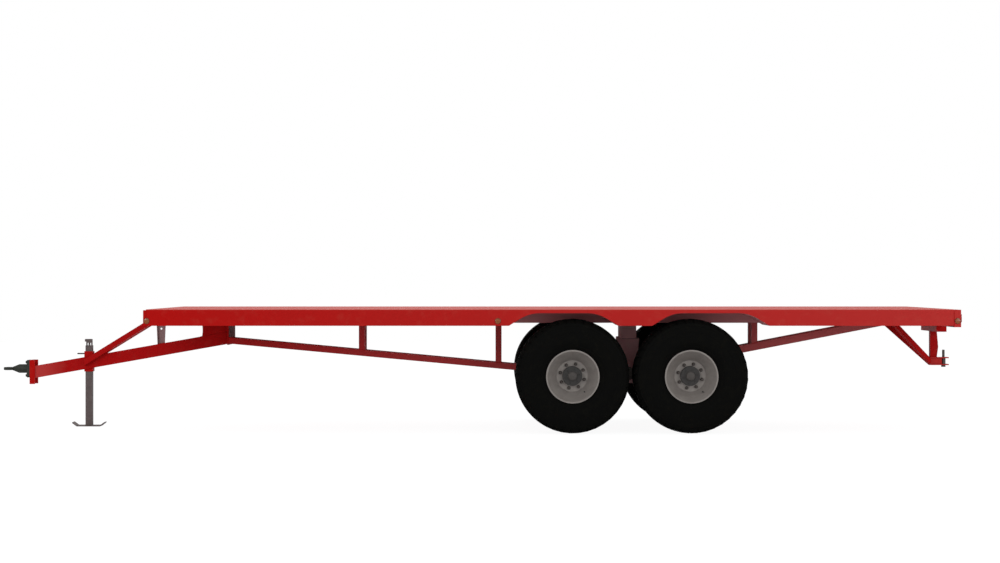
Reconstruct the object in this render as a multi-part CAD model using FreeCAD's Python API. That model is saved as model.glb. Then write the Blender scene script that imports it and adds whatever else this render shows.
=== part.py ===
import FreeCAD, Part
import math
import os

# Flat deck trailer with a tandem rocking bogie, in millimetres.
# The floor is at height zero, the towing eye points to -X and the left side is -Y.
# The middle of the overall length and the middle of the width are at zero.

os.makedirs("parts", exist_ok=True)

Vec = FreeCAD.Vector
sides = {"left": -1, "right": 1}

# Driving sizes
nose_length = 1854.0         # tip of the towing eye to the front of the deck
deck_length = 9000.0
hitch_reach = 146.0          # rear hitch behind the deck
deck_width = 2500.0
deck_edge = 181.0            # height of the deck's side
axle_setback = 4730.0        # front of the deck to the front axle
tyre_diameter = 1268.0
tyre_width = 560.0
tyre_gap = 42.0              # between the front and the rear tyre
deck_over_tyre = 109.0       # top of the deck above the tyres
overrun = 5.0                # how far every cutting shape runs past the piece

# Deck
floor_thickness = 5.0
floor_panels = 6
floor_gap = 2.0
rail_wall = 6.0
rail_lip = 55.0
front_bar_depth = 32.0
front_bar_drop = 10.0        # below the deck's top
rear_bar_depth = 77.0
rear_bar_drop = 4.0
rear_bar_below = 15.0        # below the side rails
bar_wall = 6.0
cross_height = 91.0
cross_width = 55.0
cross_wall = 5.0
cross_pitch = 530.0
spine_beam_height = 74.0

# Wheel arches
arch_rise = 139.0
arch_slope = 31.5            # degrees
arch_shoulder = 414.0
arch_front_half = 603.0
arch_rear_half = 647.0
arch_front_shift = -102.0    # from its own axle
arch_rear_shift = 207.0
arch_sheet = 4.0
arch_clearance = 50.0        # inside the tyres
arch_side_above = 20.0       # lower edge of its side sheet above the rails' underside

# Spine
chord_size = 70.0
chord_wall = 5.0
rear_chord_height = 86.0
spine_width = 330.0          # over both chords
lower_front_depth = 241.0    # underside of its front end below the top chord
lower_front_meet = 79.0      # underside below the pivot where it meets the carrier
lower_rear_meet = -4.0       # underside above the pivot behind the carrier
lower_rear_short = 471.0     # its rear end ahead of the deck's rear
front_posts = (2329.0, 3910.0)           # behind the front of the deck
rear_post_share = 0.444      # of the rear lower chord's run
tie_size = 50.0
tie_wall = 4.0
saddle_thickness = 12.0
saddle_length = 375.0
saddle_past = 80.0           # behind the end plate

# Drawbar
drawbar_width = 140.0
drawbar_height = 142.0
drawbar_wall = 8.0
drawbar_front_height = 563.0 # underside at the channel's rear edge
drawbar_rear_depth = 248.0   # underside of its rear end below the top chord
drawbar_reach = 772.0        # from the front of the deck to its rear end
end_plate = 12.0
end_plate_margin = 16.0
gusset_length = 336.0
gusset_thickness = 12.0
gusset_radius = 420.0

# Uprights between the drawbar and the deck
front_upright_top = 100.0
front_upright_foot = 79.0
front_upright_lead = 69.0    # ahead of the front of the deck
front_upright_lap = 91.0     # up the face of the front bar
front_upright_hole = 11.0
front_upright_hole_drop = 62.0   # below the deck's side
front_upright_width = 70.0   # over its front flange
rear_upright_length = 57.0
rear_upright_width = 200.0
upright_wall = 8.0
upright_web = 12.0

# Coupling channel, eye flange and towing eye
channel_depth = 62.0
channel_height = 279.0
channel_top = 772.0
channel_web = 15.0
channel_flange = 12.0
ladder_pitch = 77.5
ladder_column = 100.0
ladder_hole = 10.5
eye_height = 670.0
eye_ring = 118.0
eye_bore = 25.0
eye_thickness = 34.0
eye_edge = 8.0
eye_shank = 102.0
eye_cone_start = 96.0        # behind the tip
eye_cone_end = 181.0
eye_shank_end = 283.0
flange_thickness = 35.0
flange_height = 203.0
flange_width = 150.0
flange_corner = 22.0

# Parking stand
stand_back = 996.0           # middle of the leg behind the tip of the eye
collar_size = 98.0
collar_below = 34.0          # under the drawbar
collar_above = 59.0
leg_size = 76.0
stand_gap = 0.4              # between the leg and its collar
leg_wall = 6.0
leg_hole_pitch = 91.0
leg_holes = 5                # under the hole that is in use
leg_above = 57.0             # over the collar when parked
foot_length = 372.0
foot_width = 140.0
foot_flat = 268.0
foot_thickness = 12.0
foot_lift = 38.0
handle_width = 68.0
handle_height = 75.0
handle_strap = 10.0
handle_post = 14.0
handle_breadth = 40.0
handle_hole = 30.0           # height of its two holes
handle_grip = 30.0
handle_overhang = 15.0       # of the grip, to the front
handle_edge = 8.0
pin_radius = 8.0
pin_above = 31.0             # over the drawbar
pin_length = 104.0
pin_bend = 44.0

# Front struts
strut_size = 60.0
strut_wall = 5.0
strut_foot_ahead = 36.0      # of the stand's middle
strut_foot_drop = 28.0       # its top below the drawbar's top
strut_head_drop = 47.0       # its top below the deck's top

# Bogie
cross_beam_length = 168.0
cross_beam_shift = 22.0      # its middle behind the pivot
cross_beam_height = 173.0
cross_beam_wall = 8.0
pedestal_clearance = 45.0    # outside the pivot carrier
pedestal_width = 120.0
pedestal_top_length = 208.0
pedestal_top_shift = 14.0    # middle of its top behind the beam's middle
pedestal_wall = 14.0
pedestal_hub = 105.0
end_cover = 5.0              # half the thickness of the beam's end plates
lug_width = 30.0             # lugs with a round end on the pedestals' front corners
lug_thickness = 8.0
lug_drop = 65.0              # below the cross beam
lug_rise = 2.0               # above its underside
lug_ahead = 11.0             # its middle ahead of the beam's front
carrier_length = 320.0
carrier_height = 182.0
pivot_radius = 50.0
pivot_cap_radius = 78.0
pivot_cap = 20.0
pivot_cap_gap = 1.0
running_gap = 0.05
rocker_width = 114.0
rocker_gap = 4.0             # between a rocker and its pedestal
rocker_hub = 112.0
rocker_end = 78.0
rocker_waist = 88.0
spindle_radius = 40.0
spindle_flange = 80.0
spindle_flange_thickness = 16.0
spindle_past = 110.0         # outside the wheel's middle
back_plate = 212.0
back_plate_thickness = 6.0
back_plate_inset = 204.0     # inside the wheel's middle

# Wheels
rim_radius = 285.75
rim_width = 457.0
rim_flange = 9.0
rim_sheet = 6.0
rim_well = 28.0
rim_well_half = 95.0
rim_well_slope = 75.0
rim_lip = 12.0
disc_thickness = 13.0
disc_place = 60.0            # outer face of the disc outside the wheel's middle
disc_flat = 174.0            # radius of its flat part, inside its cone
disc_hole = 110.5
hub_nose = 107.5
hub_nose_length = 52.0
hub_cap = 46.5
hub_cap_length = 26.0
hub_flange = 168.0
hub_flange_thickness = 16.0
hub_body = 85.0
hub_inset = 188.0            # inside the wheel's middle
drum_radius = 200.0
drum_length = 110.0
tyre_bead_gap = 0.3
tyre_sidewall = 24.0
tyre_tread = 40.0
tyre_bulge_share = 0.40
tyre_shoulder_share = 0.86
tyre_crown_half = 236.0
tyre_crown_drop = 9.0
tyre_shoulder_half = 266.0

# Rear hitch
hitch_bar_length = 116.0
hitch_bar_past = 38.0        # behind the deck's rear
hitch_bar_half = 400.0
hitch_bar_drain = 9.0        # radius of the holes in its underside
hitch_bar_drain_inset = 90.0
hitch_bar_height = 73.0
hitch_bar_wall = 8.0
hitch_post_size = 67.0
hitch_low = 712.0
hitch_high = 804.0
hitch_plate = 12.0
hitch_tongue = 68.0
hitch_tongue_width = 80.0
hitch_plate_width = 110.0
hitch_pin_radius = 15.0
hitch_pin_root = 18.0        # radius inside the jaw
hitch_pin_back = 52.0        # ahead of the hitch's rear end
hitch_pin_above = 86.0
hitch_pin_below = 22.0
hitch_pin_chamfer = 3.0
hitch_spacer_radius = 25.0
hitch_nut_radius = 25.0
brace_size = 50.0
brace_wall = 5.0
brace_foot = 35.0            # middle of its foot above the jaw's underside
brace_top_ahead = 622.0      # middle of its top end ahead of the deck's rear
brace_top_out = 298.0        # and out from the middle, under a cross member
hitch_gusset = 33.0
hitch_gusset_share = 0.395   # height of its widest point
hitch_gusset_thickness = 12.0

# Lamps
marker_radius = 32.5
marker_thickness = 12.0
marker_share = 0.29          # of the deck's side, up from below
marker_inset = 38.5          # of the outer markers from the deck's ends
marker_middle = 3903.0       # behind the front of the deck
lamp_width = 230.0
lamp_height = 100.0
lamp_thickness = 28.0
lamp_out = 1060.0

# Places that follow from the sizes above
deck_height = tyre_diameter + deck_over_tyre
wheel_base = tyre_diameter + tyre_gap
overall_length = nose_length + deck_length + hitch_reach
eye_tip_x = -overall_length / 2
deck_front_x = eye_tip_x + nose_length
deck_rear_x = deck_front_x + deck_length
hitch_end_x = deck_rear_x + hitch_reach
half_width = deck_width / 2
floor_under = deck_height - floor_thickness
deck_under = deck_height - deck_edge
cross_under = floor_under - cross_height
spine_under = cross_under - spine_beam_height
wheel_radius = tyre_diameter / 2
front_axle_x = deck_front_x + axle_setback
rear_axle_x = front_axle_x + wheel_base
pivot_x = (front_axle_x + rear_axle_x) / 2
beam_x = pivot_x + cross_beam_shift
wheel_middle_y = half_width - tyre_width / 2
tyre_inner_y = half_width - tyre_width
arch_inner_y = tyre_inner_y - arch_clearance
pedestal_inner = spine_width / 2 + pedestal_clearance
pedestal_outer = pedestal_inner + pedestal_width
rocker_inner = pedestal_outer + rocker_gap
rocker_outer = rocker_inner + rocker_width
pivot_end = rocker_outer + pivot_cap_gap + pivot_cap
spindle_end = wheel_middle_y + spindle_past
back_plate_y = wheel_middle_y - back_plate_inset
chord_middle_y = (spine_width - chord_size) / 2
channel_front_x = eye_tip_x + eye_shank_end + flange_thickness
drawbar_front_x = channel_front_x + channel_depth
drawbar_rear_x = deck_front_x + drawbar_reach
spine_front_x = drawbar_rear_x + end_plate
stand_x = eye_tip_x + stand_back
collar_wall = (collar_size - leg_size) / 2 - stand_gap
carrier_front_x = pivot_x - carrier_length / 2
carrier_rear_x = pivot_x + carrier_length / 2
carrier_low = wheel_radius - carrier_height / 2
carrier_high = wheel_radius + carrier_height / 2
cross_beam_low = spine_under - cross_beam_height
lower_front_height = spine_under - lower_front_depth
lower_front_fall = lower_front_height - wheel_radius + lower_front_meet
lower_front_drop = lower_front_fall / (carrier_front_x - spine_front_x)
lower_rear_height = wheel_radius + lower_rear_meet
lower_rear_run = deck_rear_x - lower_rear_short - carrier_rear_x
lower_rear_rise = (spine_under - lower_rear_height) / lower_rear_run
drawbar_lift = spine_under - drawbar_rear_depth - drawbar_front_height
drawbar_rise = drawbar_lift / (drawbar_rear_x - drawbar_front_x)
hitch_bar_rear_x = deck_rear_x + hitch_bar_past
hitch_bar_front_x = hitch_bar_rear_x - hitch_bar_length
hitch_post_front_x = deck_rear_x - hitch_post_size
arch_front_x = front_axle_x + arch_front_shift
arch_rear_x = rear_axle_x + arch_rear_shift
hitch_bar_top = deck_under - rear_bar_below
hitch_bar_low = hitch_bar_top - hitch_bar_height
marker_z = deck_under + deck_edge * marker_share
along_x, along_y, along_z = Vec(1, 0, 0), Vec(0, 1, 0), Vec(0, 0, 1)


def box(x0, x1, y0, y1, z0, z1):
    """A block between two corners, given in any order."""
    low = Vec(min(x0, x1), min(y0, y1), min(z0, z1))
    return Part.makeBox(abs(x1 - x0), abs(y1 - y0), abs(z1 - z0), low)


def outline_face(points, y):
    """A face in side view from corner points (x, z), at one place across."""
    corners = [Vec(x, y, z) for x, z in points]
    return Part.Face(Part.makePolygon(corners + corners[:1]))


def side_plate(points, y0, y1):
    """A plate drawn in side view and as thick as y0 to y1."""
    return outline_face(points, y0).extrude(Vec(0, y1 - y0, 0))


def round_bar(x, z, radius, y0, y1):
    """A round bar lying across the trailer."""
    low = min(y0, y1)
    return Part.makeCylinder(radius, abs(y1 - y0), Vec(x, low, z), along_y)


def upright_bar(x, y, radius, z0, z1):
    return Part.makeCylinder(radius, z1 - z0, Vec(x, y, z0), along_z)


def tube_box(x0, x1, y0, y1, z0, z1, wall, open_axis):
    """A square tube with its two ends open along one axis."""
    low, high = [x0, y0, z0], [x1, y1, z1]
    for axis, (a, b) in enumerate(zip(low, high)):
        low[axis], high[axis] = min(a, b), max(a, b)
    inner = [(a + wall, b - wall) for a, b in zip(low, high)]
    inner[open_axis] = (low[open_axis] - overrun, high[open_axis] + overrun)
    return box(x0, x1, y0, y1, z0, z1).cut(box(*inner[0], *inner[1], *inner[2]))


def sloped_bar(under, x0, x1, depth, y_middle, width):
    """A bar along the trailer with upright ends; under gives its underside at x."""
    outline = [(x0, under(x0)), (x1, under(x1)),
               (x1, under(x1) + depth), (x0, under(x0) + depth)]
    return side_plate(outline, y_middle - width / 2, y_middle + width / 2)


def sloped_tube(under, x0, x1, depth, y_middle, width, wall):
    """A sloped bar made hollow, with both ends open."""
    def bore_under(x):
        return under(x) + wall

    bore = sloped_bar(bore_under, x0 - overrun, x1 + overrun,
                      depth - 2 * wall, y_middle, width - 2 * wall)
    return sloped_bar(under, x0, x1, depth, y_middle, width).cut(bore)


def tube_between(start, end, size, wall, before, after):
    """A square tube on a slanting axis, run on past both of its points."""
    run = end.sub(start)
    ahead = Vec(run).normalize()
    across = along_z.cross(ahead).normalize()
    above = ahead.cross(across)
    length = before + run.Length + after
    half = size / 2
    tube = box(0, length, -half, half, -half, half)
    hollow = half - wall
    tube = tube.cut(box(-overrun, length + overrun, -hollow, hollow, -hollow, hollow))
    turn = FreeCAD.Rotation(ahead, across, above, "XYZ")
    tube.Placement = FreeCAD.Placement(start.sub(ahead * before), turn)
    return tube


def rounded_plate(x0, x1, width, z0, z1, corner):
    """An upright plate across the trailer with rounded corners."""
    plate = box(x0, x1, -width / 2, width / 2, z0, z1)
    edges = [e for e in plate.Edges if abs(e.tangentAt(e.FirstParameter).x) > 0.9]
    return plate.makeFillet(corner, edges)


def revolved(edges, x, y_middle, side):
    """A closed outline of (across, radius) turned about a wheel's axle line."""
    face = Part.Face(Part.Wire(Part.__sortEdges__(edges)))
    body = face.revolve(Vec(0, 0, 0), along_y, 360)
    if side < 0:
        body = body.mirror(Vec(0, 0, 0), along_y)
    body.translate(Vec(x, side * y_middle, wheel_radius))
    return Part.Solid(body.Shells[0]) if body.ShapeType != "Solid" else body


def profile_line(points):
    """Straight edges of a wheel outline through (across, radius) points."""
    corners = [Vec(0, across, radius) for across, radius in points]
    return [Part.makeLine(a, b) for a, b in zip(corners, corners[1:])]


def profile_arc(first, through, last):
    points = [Vec(0, across, radius) for across, radius in (first, through, last)]
    return Part.Arc(*points).toShape()


def bulging_arc(bulge, end, hand):
    """Arc from a sidewall's widest point, where it runs straight out, to an end."""
    across, rise = bulge[0] - end[0], end[1] - bulge[1]
    radius = (across ** 2 + rise ** 2) / (2 * across)
    turn = math.atan2(rise, radius - across) / 2
    middle = bulge[0] - radius * (1 - math.cos(turn)), bulge[1] + radius * math.sin(turn)
    return profile_arc(*[(hand * y, r) for y, r in (bulge, middle, end)])


def save(name, *solids):
    """Writes one node, made of one solid or of several that don't touch."""
    shape = solids[0] if len(solids) == 1 else Part.makeCompound(list(solids))
    shape.exportStep("parts/" + name + ".step")


def drawbar_under(x):
    return drawbar_front_height + (x - drawbar_front_x) * drawbar_rise


def drawbar_over(x):
    return drawbar_under(x) + drawbar_height


def lower_front_under(x):
    return lower_front_height - (x - spine_front_x) * lower_front_drop


def lower_rear_under(x):
    return lower_rear_height + (x - carrier_rear_x) * lower_rear_rise


def arch_flat(half):
    """Half the length of a wheel arch's flat top."""
    slope = math.radians(arch_slope)
    return half - arch_rise / math.tan(slope) - arch_shoulder * math.tan(slope / 2)


def arch_outline(middle, half, lift, low):
    """Wheel arch in side view: sloping sides, round shoulders and a flat top."""
    slope = math.radians(arch_slope)
    top = deck_under + arch_rise + lift
    radius = arch_shoulder + lift
    tangent = radius * math.tan(slope / 2)
    flat_end = arch_flat(half)
    corner = flat_end + tangent
    side_x = corner + tangent * math.cos(slope)
    side_z = top - tangent * math.sin(slope)
    bow_x = flat_end + radius * math.sin(slope / 2)
    bow_z = top - radius * (1 - math.cos(slope / 2))
    foot = corner + (top - low) / math.tan(slope)
    edges = []
    for hand in (1, -1):
        flat = Vec(middle + hand * flat_end, 0, top)
        bow = Vec(middle + hand * bow_x, 0, bow_z)
        side = Vec(middle + hand * side_x, 0, side_z)
        end = Vec(middle + hand * foot, 0, low)
        edges += [Part.Arc(flat, bow, side).toShape(), Part.makeLine(side, end)]
    left, right = middle - flat_end, middle + flat_end
    edges.append(Part.makeLine(Vec(left, 0, top), Vec(right, 0, top)))
    feet = Vec(middle - foot, 0, low), Vec(middle + foot, 0, low)
    edges.append(Part.makeLine(*feet))
    return Part.Face(Part.Wire(Part.__sortEdges__(edges)))


def arch_body(middle, half, lift, low, y0, y1):
    face = arch_outline(middle, half, lift, low)
    face.translate(Vec(0, min(y0, y1), 0))
    return face.extrude(Vec(0, abs(y1 - y0), 0))


arches = ((arch_front_x, arch_front_half), (arch_rear_x, arch_rear_half))
post_places = [deck_front_x + place for place in front_posts]
post_places.append(carrier_rear_x + lower_rear_run * rear_post_share)
marker_places = (deck_front_x + marker_inset, deck_front_x + marker_middle,
                 deck_rear_x - marker_inset)
collar_low = drawbar_under(stand_x) - collar_below
collar_high = drawbar_over(stand_x) + collar_above
pin_z = drawbar_over(stand_x) + pin_above
strut_foot_x = stand_x - strut_foot_ahead
strut_foot_top = drawbar_over(strut_foot_x) - strut_foot_drop
strut_climb = deck_height - strut_head_drop - strut_foot_top
strut_rise = strut_climb / (deck_front_x - strut_foot_x)
strut_depth = strut_size * math.hypot(1, strut_rise)


def deck_floor():
    """Tread plate panels laid side by side over the whole deck."""
    panel = (deck_length - front_bar_depth - rear_bar_depth) / floor_panels
    start = deck_front_x + front_bar_depth
    panels = []
    for number in range(floor_panels):
        x0 = start + number * panel + (floor_gap if number else 0)
        x1 = start + (number + 1) * panel
        panels.append(box(x0, x1, -half_width, half_width, floor_under, deck_height))
    save("deck_floor", *panels)


def side_rail(name, side):
    """Side rail of three folded lengths, joined by a flat strip over each wheel."""
    x0, x1 = deck_front_x + front_bar_depth, deck_rear_x - rear_bar_depth
    outer, inner = side * half_width, side * (half_width - rail_wall)
    lip_end = side * (half_width - rail_lip)
    rail = box(x0, x1, outer, inner, deck_under, floor_under)
    rail = rail.fuse(box(x0, x1, inner, lip_end, deck_under, deck_under + rail_wall))
    past, before = side * (half_width + overrun), side * (half_width - rail_lip - overrun)
    strips = []
    for middle, half in arches:
        rail = rail.cut(arch_body(middle, half, 0, deck_under - overrun, past, before))
        flat = arch_flat(half)
        over = box(middle - flat, middle + flat, past, before, deck_under, deck_height)
        strips.append(rail.common(over).Solids[0])
        rail = rail.cut(over)
    save("side_rail_" + name, *rail.removeSplitter().Solids)
    save("arch_strip_" + name, *strips)


def wheel_arches():
    """Bent sheets that close the deck above the wheels, and sheets on their inner side."""
    sheets, side_sheets = [], []
    for side in sides.values():
        y0, y1 = side * (half_width - rail_wall), side * (arch_inner_y + arch_sheet)
        past, before = side * half_width, side * (arch_inner_y - overrun)
        for middle, half in arches:
            sheet = arch_body(middle, half, arch_sheet, deck_under, y0, y1)
            hollow = arch_body(middle, half, 0, deck_under - overrun, past, before)
            lip_room = box(middle - deck_width, middle + deck_width,
                           side * (half_width - rail_lip), y0,
                           deck_under, deck_under + rail_wall)
            sheets.append(sheet.cut(hollow).cut(lip_room))
            side_sheets.append(arch_body(middle, half, arch_sheet, deck_under + arch_side_above,
                                         side * arch_inner_y, y1))
    save("wheel_arches", *sheets)
    save("arch_side_sheets", *side_sheets)


def end_bars():
    """Folded bars across the front and the rear of the deck, open inwards."""
    def bar(x_face, x_back, low, high):
        into = math.copysign(1, x_back - x_face)
        shell = box(x_face, x_back, -half_width, half_width, low, high)
        inside = half_width - bar_wall
        return shell.cut(box(x_face + into * bar_wall, x_back + into * overrun,
                             -inside, inside, low + bar_wall, high - bar_wall))

    front_back_x = deck_front_x + front_bar_depth
    save("front_end_bar", bar(deck_front_x, front_back_x,
                              deck_under, deck_height - front_bar_drop))
    save("rear_end_bar", bar(deck_rear_x, deck_rear_x - rear_bar_depth,
                             deck_under - rear_bar_below, deck_height - rear_bar_drop))


def cross_member(x, y0, y1):
    """One folded channel under the floor, open to the rear."""
    channel = box(x, x + cross_width, y0, y1, cross_under, floor_under)
    low, high = cross_under + cross_wall, floor_under - cross_wall
    return channel.cut(box(x + cross_wall, x + cross_width + overrun,
                           min(y0, y1) - overrun, max(y0, y1) + overrun, low, high))


def cross_members():
    """Channels from rail to rail, cut short where a wheel arch crosses."""
    x0 = deck_front_x + front_bar_depth
    x1 = deck_rear_x - rear_bar_depth - cross_width
    count = round((x1 - x0) / cross_pitch)
    step = (x1 - x0) / count
    members = []
    for number in range(count + 1):
        x = x0 + number * step
        reach = half_width - rail_wall
        for middle, half in arches:
            if abs(x + cross_width / 2 - middle) < half:
                reach = arch_inner_y
        members.append(cross_member(x, -reach, reach))
    save("cross_members", *members)


def top_chord(name, side):
    """Spine tube right under the cross members."""
    y = side * chord_middle_y
    half = chord_size / 2
    save("top_chord_" + name,
         tube_box(deck_front_x + front_bar_depth, hitch_bar_front_x,
                  y - half, y + half, spine_under, cross_under, chord_wall, 0))


def lower_chord(name, side):
    """The two sloping tubes that meet at the bogie pivot."""
    y = side * chord_middle_y
    front = sloped_tube(lower_front_under, spine_front_x, carrier_front_x,
                        chord_size, y, chord_size, chord_wall)
    rear = sloped_tube(lower_rear_under, carrier_rear_x, carrier_rear_x + lower_rear_run,
                       rear_chord_height, y, chord_size, chord_wall)
    above = box(carrier_rear_x - overrun, deck_rear_x, y - chord_size, y + chord_size,
                spine_under, deck_height)
    save("lower_chord_" + name, front, rear.cut(above))


def truss_posts():
    """Upright tubes between the chords, cut to the lower chord's slope."""
    posts = []
    half = chord_size / 2
    for side in sides.values():
        y = side * chord_middle_y
        for x in post_places:
            ahead = x < pivot_x
            under = lower_front_under if ahead else lower_rear_under
            height = chord_size if ahead else rear_chord_height
            low = under(x) + height / 2
            post = tube_box(x - half, x + half, y - half, y + half,
                            low, spine_under, chord_wall, 2)
            chord = sloped_bar(under, x - chord_size, x + chord_size,
                               height, y, 2 * chord_size)
            posts.append(post.cut(chord))
    save("truss_posts", *posts)


def spine_ties():
    """Short tubes that hold the two lower chords apart."""
    inner = chord_middle_y - chord_size / 2
    ties = []
    for x in post_places:
        under = lower_front_under if x < pivot_x else lower_rear_under
        middle = under(x) + chord_size / 2
        half = tie_size / 2
        ties.append(tube_box(x - half, x + half, -inner, inner,
                             middle - half, middle + half, tie_wall, 1))
    save("spine_ties", *ties)


def drawbar_beam():
    """Sloping box beam, opened for the stand's collar."""
    web_back = channel_front_x + channel_web
    beam = sloped_tube(drawbar_under, web_back, drawbar_rear_x,
                       drawbar_height, 0, drawbar_width, drawbar_wall)
    half = collar_size / 2
    save("drawbar_beam", beam.cut(box(stand_x - half, stand_x + half, -half, half,
                                      collar_low - overrun, collar_high + overrun)))


def drawbar_head():
    """Plate at the drawbar's rear end, gussets on its top and the saddle above."""
    half = spine_width / 2
    low = lower_front_height - end_plate_margin
    save("drawbar_end_plate", box(drawbar_rear_x, spine_front_x, -half, half, low,
                                  spine_under - saddle_thickness))
    saddle_rear_x = spine_front_x + saddle_past
    save("spine_saddle", box(saddle_rear_x - saddle_length, saddle_rear_x, -half, half,
                             spine_under - saddle_thickness, spine_under))
    gussets = []
    x0, x1 = drawbar_rear_x - gusset_length, drawbar_rear_x
    top = spine_under - saddle_thickness
    foot = [(x, drawbar_over(x)) for x in (x0, x1)]
    for side in sides.values():
        outer = side * drawbar_width / 2
        inner = outer - side * gusset_thickness
        plate = side_plate(foot + [(x1, top), (x0, top)], outer, inner)
        bite = round_bar(x0 - gusset_radius + gusset_thickness * 3,
                         (foot[0][1] + top) / 2, gusset_radius,
                         outer + side * overrun, inner - side * overrun)
        gussets.append(plate.cut(bite))
    save("drawbar_gussets", *gussets)


def deck_uprights():
    """Two bare steel tees: one laps the front bar, one stands behind the end plate."""
    x0 = deck_front_x - front_upright_lead
    slack = (front_upright_top - front_upright_foot) / 2
    low = drawbar_over(x0) - overrun
    top = deck_under + front_upright_lap
    front = [(x0, top), (x0, deck_under), (x0 + slack, low)]
    web = [(x0 + slack + front_upright_foot, low), (x0 + front_upright_top, deck_under),
           (x0 + front_upright_top, top)]
    flange = [(x0 + slack + upright_wall, low), (x0 + upright_wall, deck_under),
              (x0 + upright_wall, top)]
    thick, wide = upright_web / 2, front_upright_width / 2
    post = side_plate(front + web, -thick, thick)
    post = post.fuse(side_plate(front + flange, -wide, wide))
    bar = box(deck_front_x, deck_front_x + deck_width, -half_width, half_width,
              deck_under, top + overrun)
    beam = sloped_bar(drawbar_under, x0 - overrun, x0 + front_upright_top + overrun,
                      drawbar_height, 0, 2 * drawbar_width)
    hole_x = x0 + front_upright_top / 2
    hole = round_bar(hole_x, deck_under - front_upright_hole_drop, front_upright_hole,
                     -drawbar_width, drawbar_width)
    post = post.cut([bar, beam, hole]).removeSplitter()
    rear_x0 = spine_front_x
    low, top = lower_front_height + chord_size, spine_under - saddle_thickness
    wide = rear_upright_width / 2
    rear = box(rear_x0, rear_x0 + rear_upright_length, -thick, thick, low, top)
    rear = rear.fuse(box(rear_x0, rear_x0 + upright_wall, -wide, wide, low, top))
    save("deck_uprights", post.Solids[0], rear.removeSplitter().Solids[0])


def coupling_channel():
    """Upright channel on the drawbar's nose, with free holes under the eye."""
    low = channel_top - channel_height
    half = drawbar_width / 2 + channel_flange
    inner = drawbar_width / 2
    rear_x = channel_front_x + channel_depth
    web_back = channel_front_x + channel_web
    channel = box(channel_front_x, rear_x, -half, half, low, channel_top)
    channel = channel.cut(box(web_back, rear_x + overrun, -inner, inner,
                              low - overrun, channel_top + overrun))
    z = eye_height - 2 * ladder_pitch
    for side in sides.values():
        hole = Part.makeCylinder(ladder_hole, channel_web + 2 * overrun,
                                 Vec(channel_front_x - overrun, side * ladder_column / 2, z),
                                 along_x)
        channel = channel.cut(hole)
    save("coupling_channel", channel)


def towing_eye():
    """Forged ring with an upright bore, on a cone and a round shank."""
    middle = eye_tip_x + eye_ring / 2
    low, high = eye_height - eye_thickness / 2, eye_height + eye_thickness / 2
    ring = upright_bar(middle, 0, eye_ring / 2, low, high)
    ring = ring.makeFillet(eye_edge, ring.Edges)
    cone = Part.makeCone(eye_thickness / 2, eye_shank / 2, eye_cone_end - eye_cone_start,
                         Vec(eye_tip_x + eye_cone_start, 0, eye_height), along_x)
    shank = Part.makeCylinder(eye_shank / 2, eye_shank_end - eye_cone_end,
                              Vec(eye_tip_x + eye_cone_end, 0, eye_height), along_x)
    neck = box(middle, eye_tip_x + eye_cone_end, -eye_thickness / 2, eye_thickness / 2, low, high)
    eye = ring.fuse([cone, shank, neck])
    eye = eye.cut(upright_bar(middle, 0, eye_bore, low - overrun, high + overrun))
    save("towing_eye", eye.removeSplitter())
    x0 = eye_tip_x + eye_shank_end
    save("eye_flange", rounded_plate(x0, x0 + flange_thickness, flange_width,
                                     eye_height - flange_height / 2,
                                     eye_height + flange_height / 2, flange_corner))


def parking_stand():
    """Collar through the drawbar, and the leg, foot and handle that slide in it."""
    half = collar_size / 2
    collar = tube_box(stand_x - half, stand_x + half, -half, half,
                      collar_low, collar_high, collar_wall, 2)
    hole = Part.makeCylinder(pin_radius + running_gap, collar_wall + 2 * overrun,
                             Vec(stand_x - half - overrun, 0, pin_z), along_x)
    save("stand_collar", collar.cut(hole))
    half = leg_size / 2
    leg_top = collar_high + leg_above
    leg = tube_box(stand_x - half, stand_x + half, -half, half,
                   foot_thickness, leg_top, leg_wall, 2)
    for number in range(leg_holes + 1):
        z = pin_z - number * leg_hole_pitch
        leg = leg.cut(Part.makeCylinder(pin_radius + running_gap, leg_wall + 2 * overrun,
                                        Vec(stand_x - half - overrun, 0, z), along_x))
    save("stand_leg", leg)
    flat, end = foot_flat / 2, foot_length / 2
    under = [(-end, foot_lift), (-flat, 0), (flat, 0), (end, foot_lift)]
    over = [(end, foot_lift + foot_thickness), (flat, foot_thickness),
            (-flat, foot_thickness), (-end, foot_lift + foot_thickness)]
    outline = [(stand_x + x, z) for x, z in under + over]
    save("stand_foot", side_plate(outline, -foot_width / 2, foot_width / 2))
    half, breadth = handle_width / 2, handle_breadth / 2
    cap = box(stand_x - leg_size / 2, stand_x + leg_size / 2, -leg_size / 2, leg_size / 2,
              leg_top, leg_top + handle_strap)
    bow_low, bow_high = leg_top + handle_strap, leg_top + handle_strap + handle_height
    bow = box(stand_x - half, stand_x + half, -breadth, breadth,
              bow_low, bow_high - handle_grip)
    post = handle_post / 2
    for x0, x1 in ((-half + handle_strap, -post), (post, half - handle_strap)):
        bow = bow.cut(box(stand_x + x0, stand_x + x1, -leg_size, leg_size,
                          bow_low, bow_low + handle_hole))
    grip = box(stand_x - half - handle_overhang, stand_x + half, -breadth, breadth,
               bow_high - handle_grip, bow_high)
    top_edges = [e for e in grip.Edges if e.BoundBox.ZMin > bow_high - overrun]
    bow = bow.fuse(grip.makeFillet(handle_edge, top_edges))
    save("stand_handle", cap.fuse(bow).removeSplitter())


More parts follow.
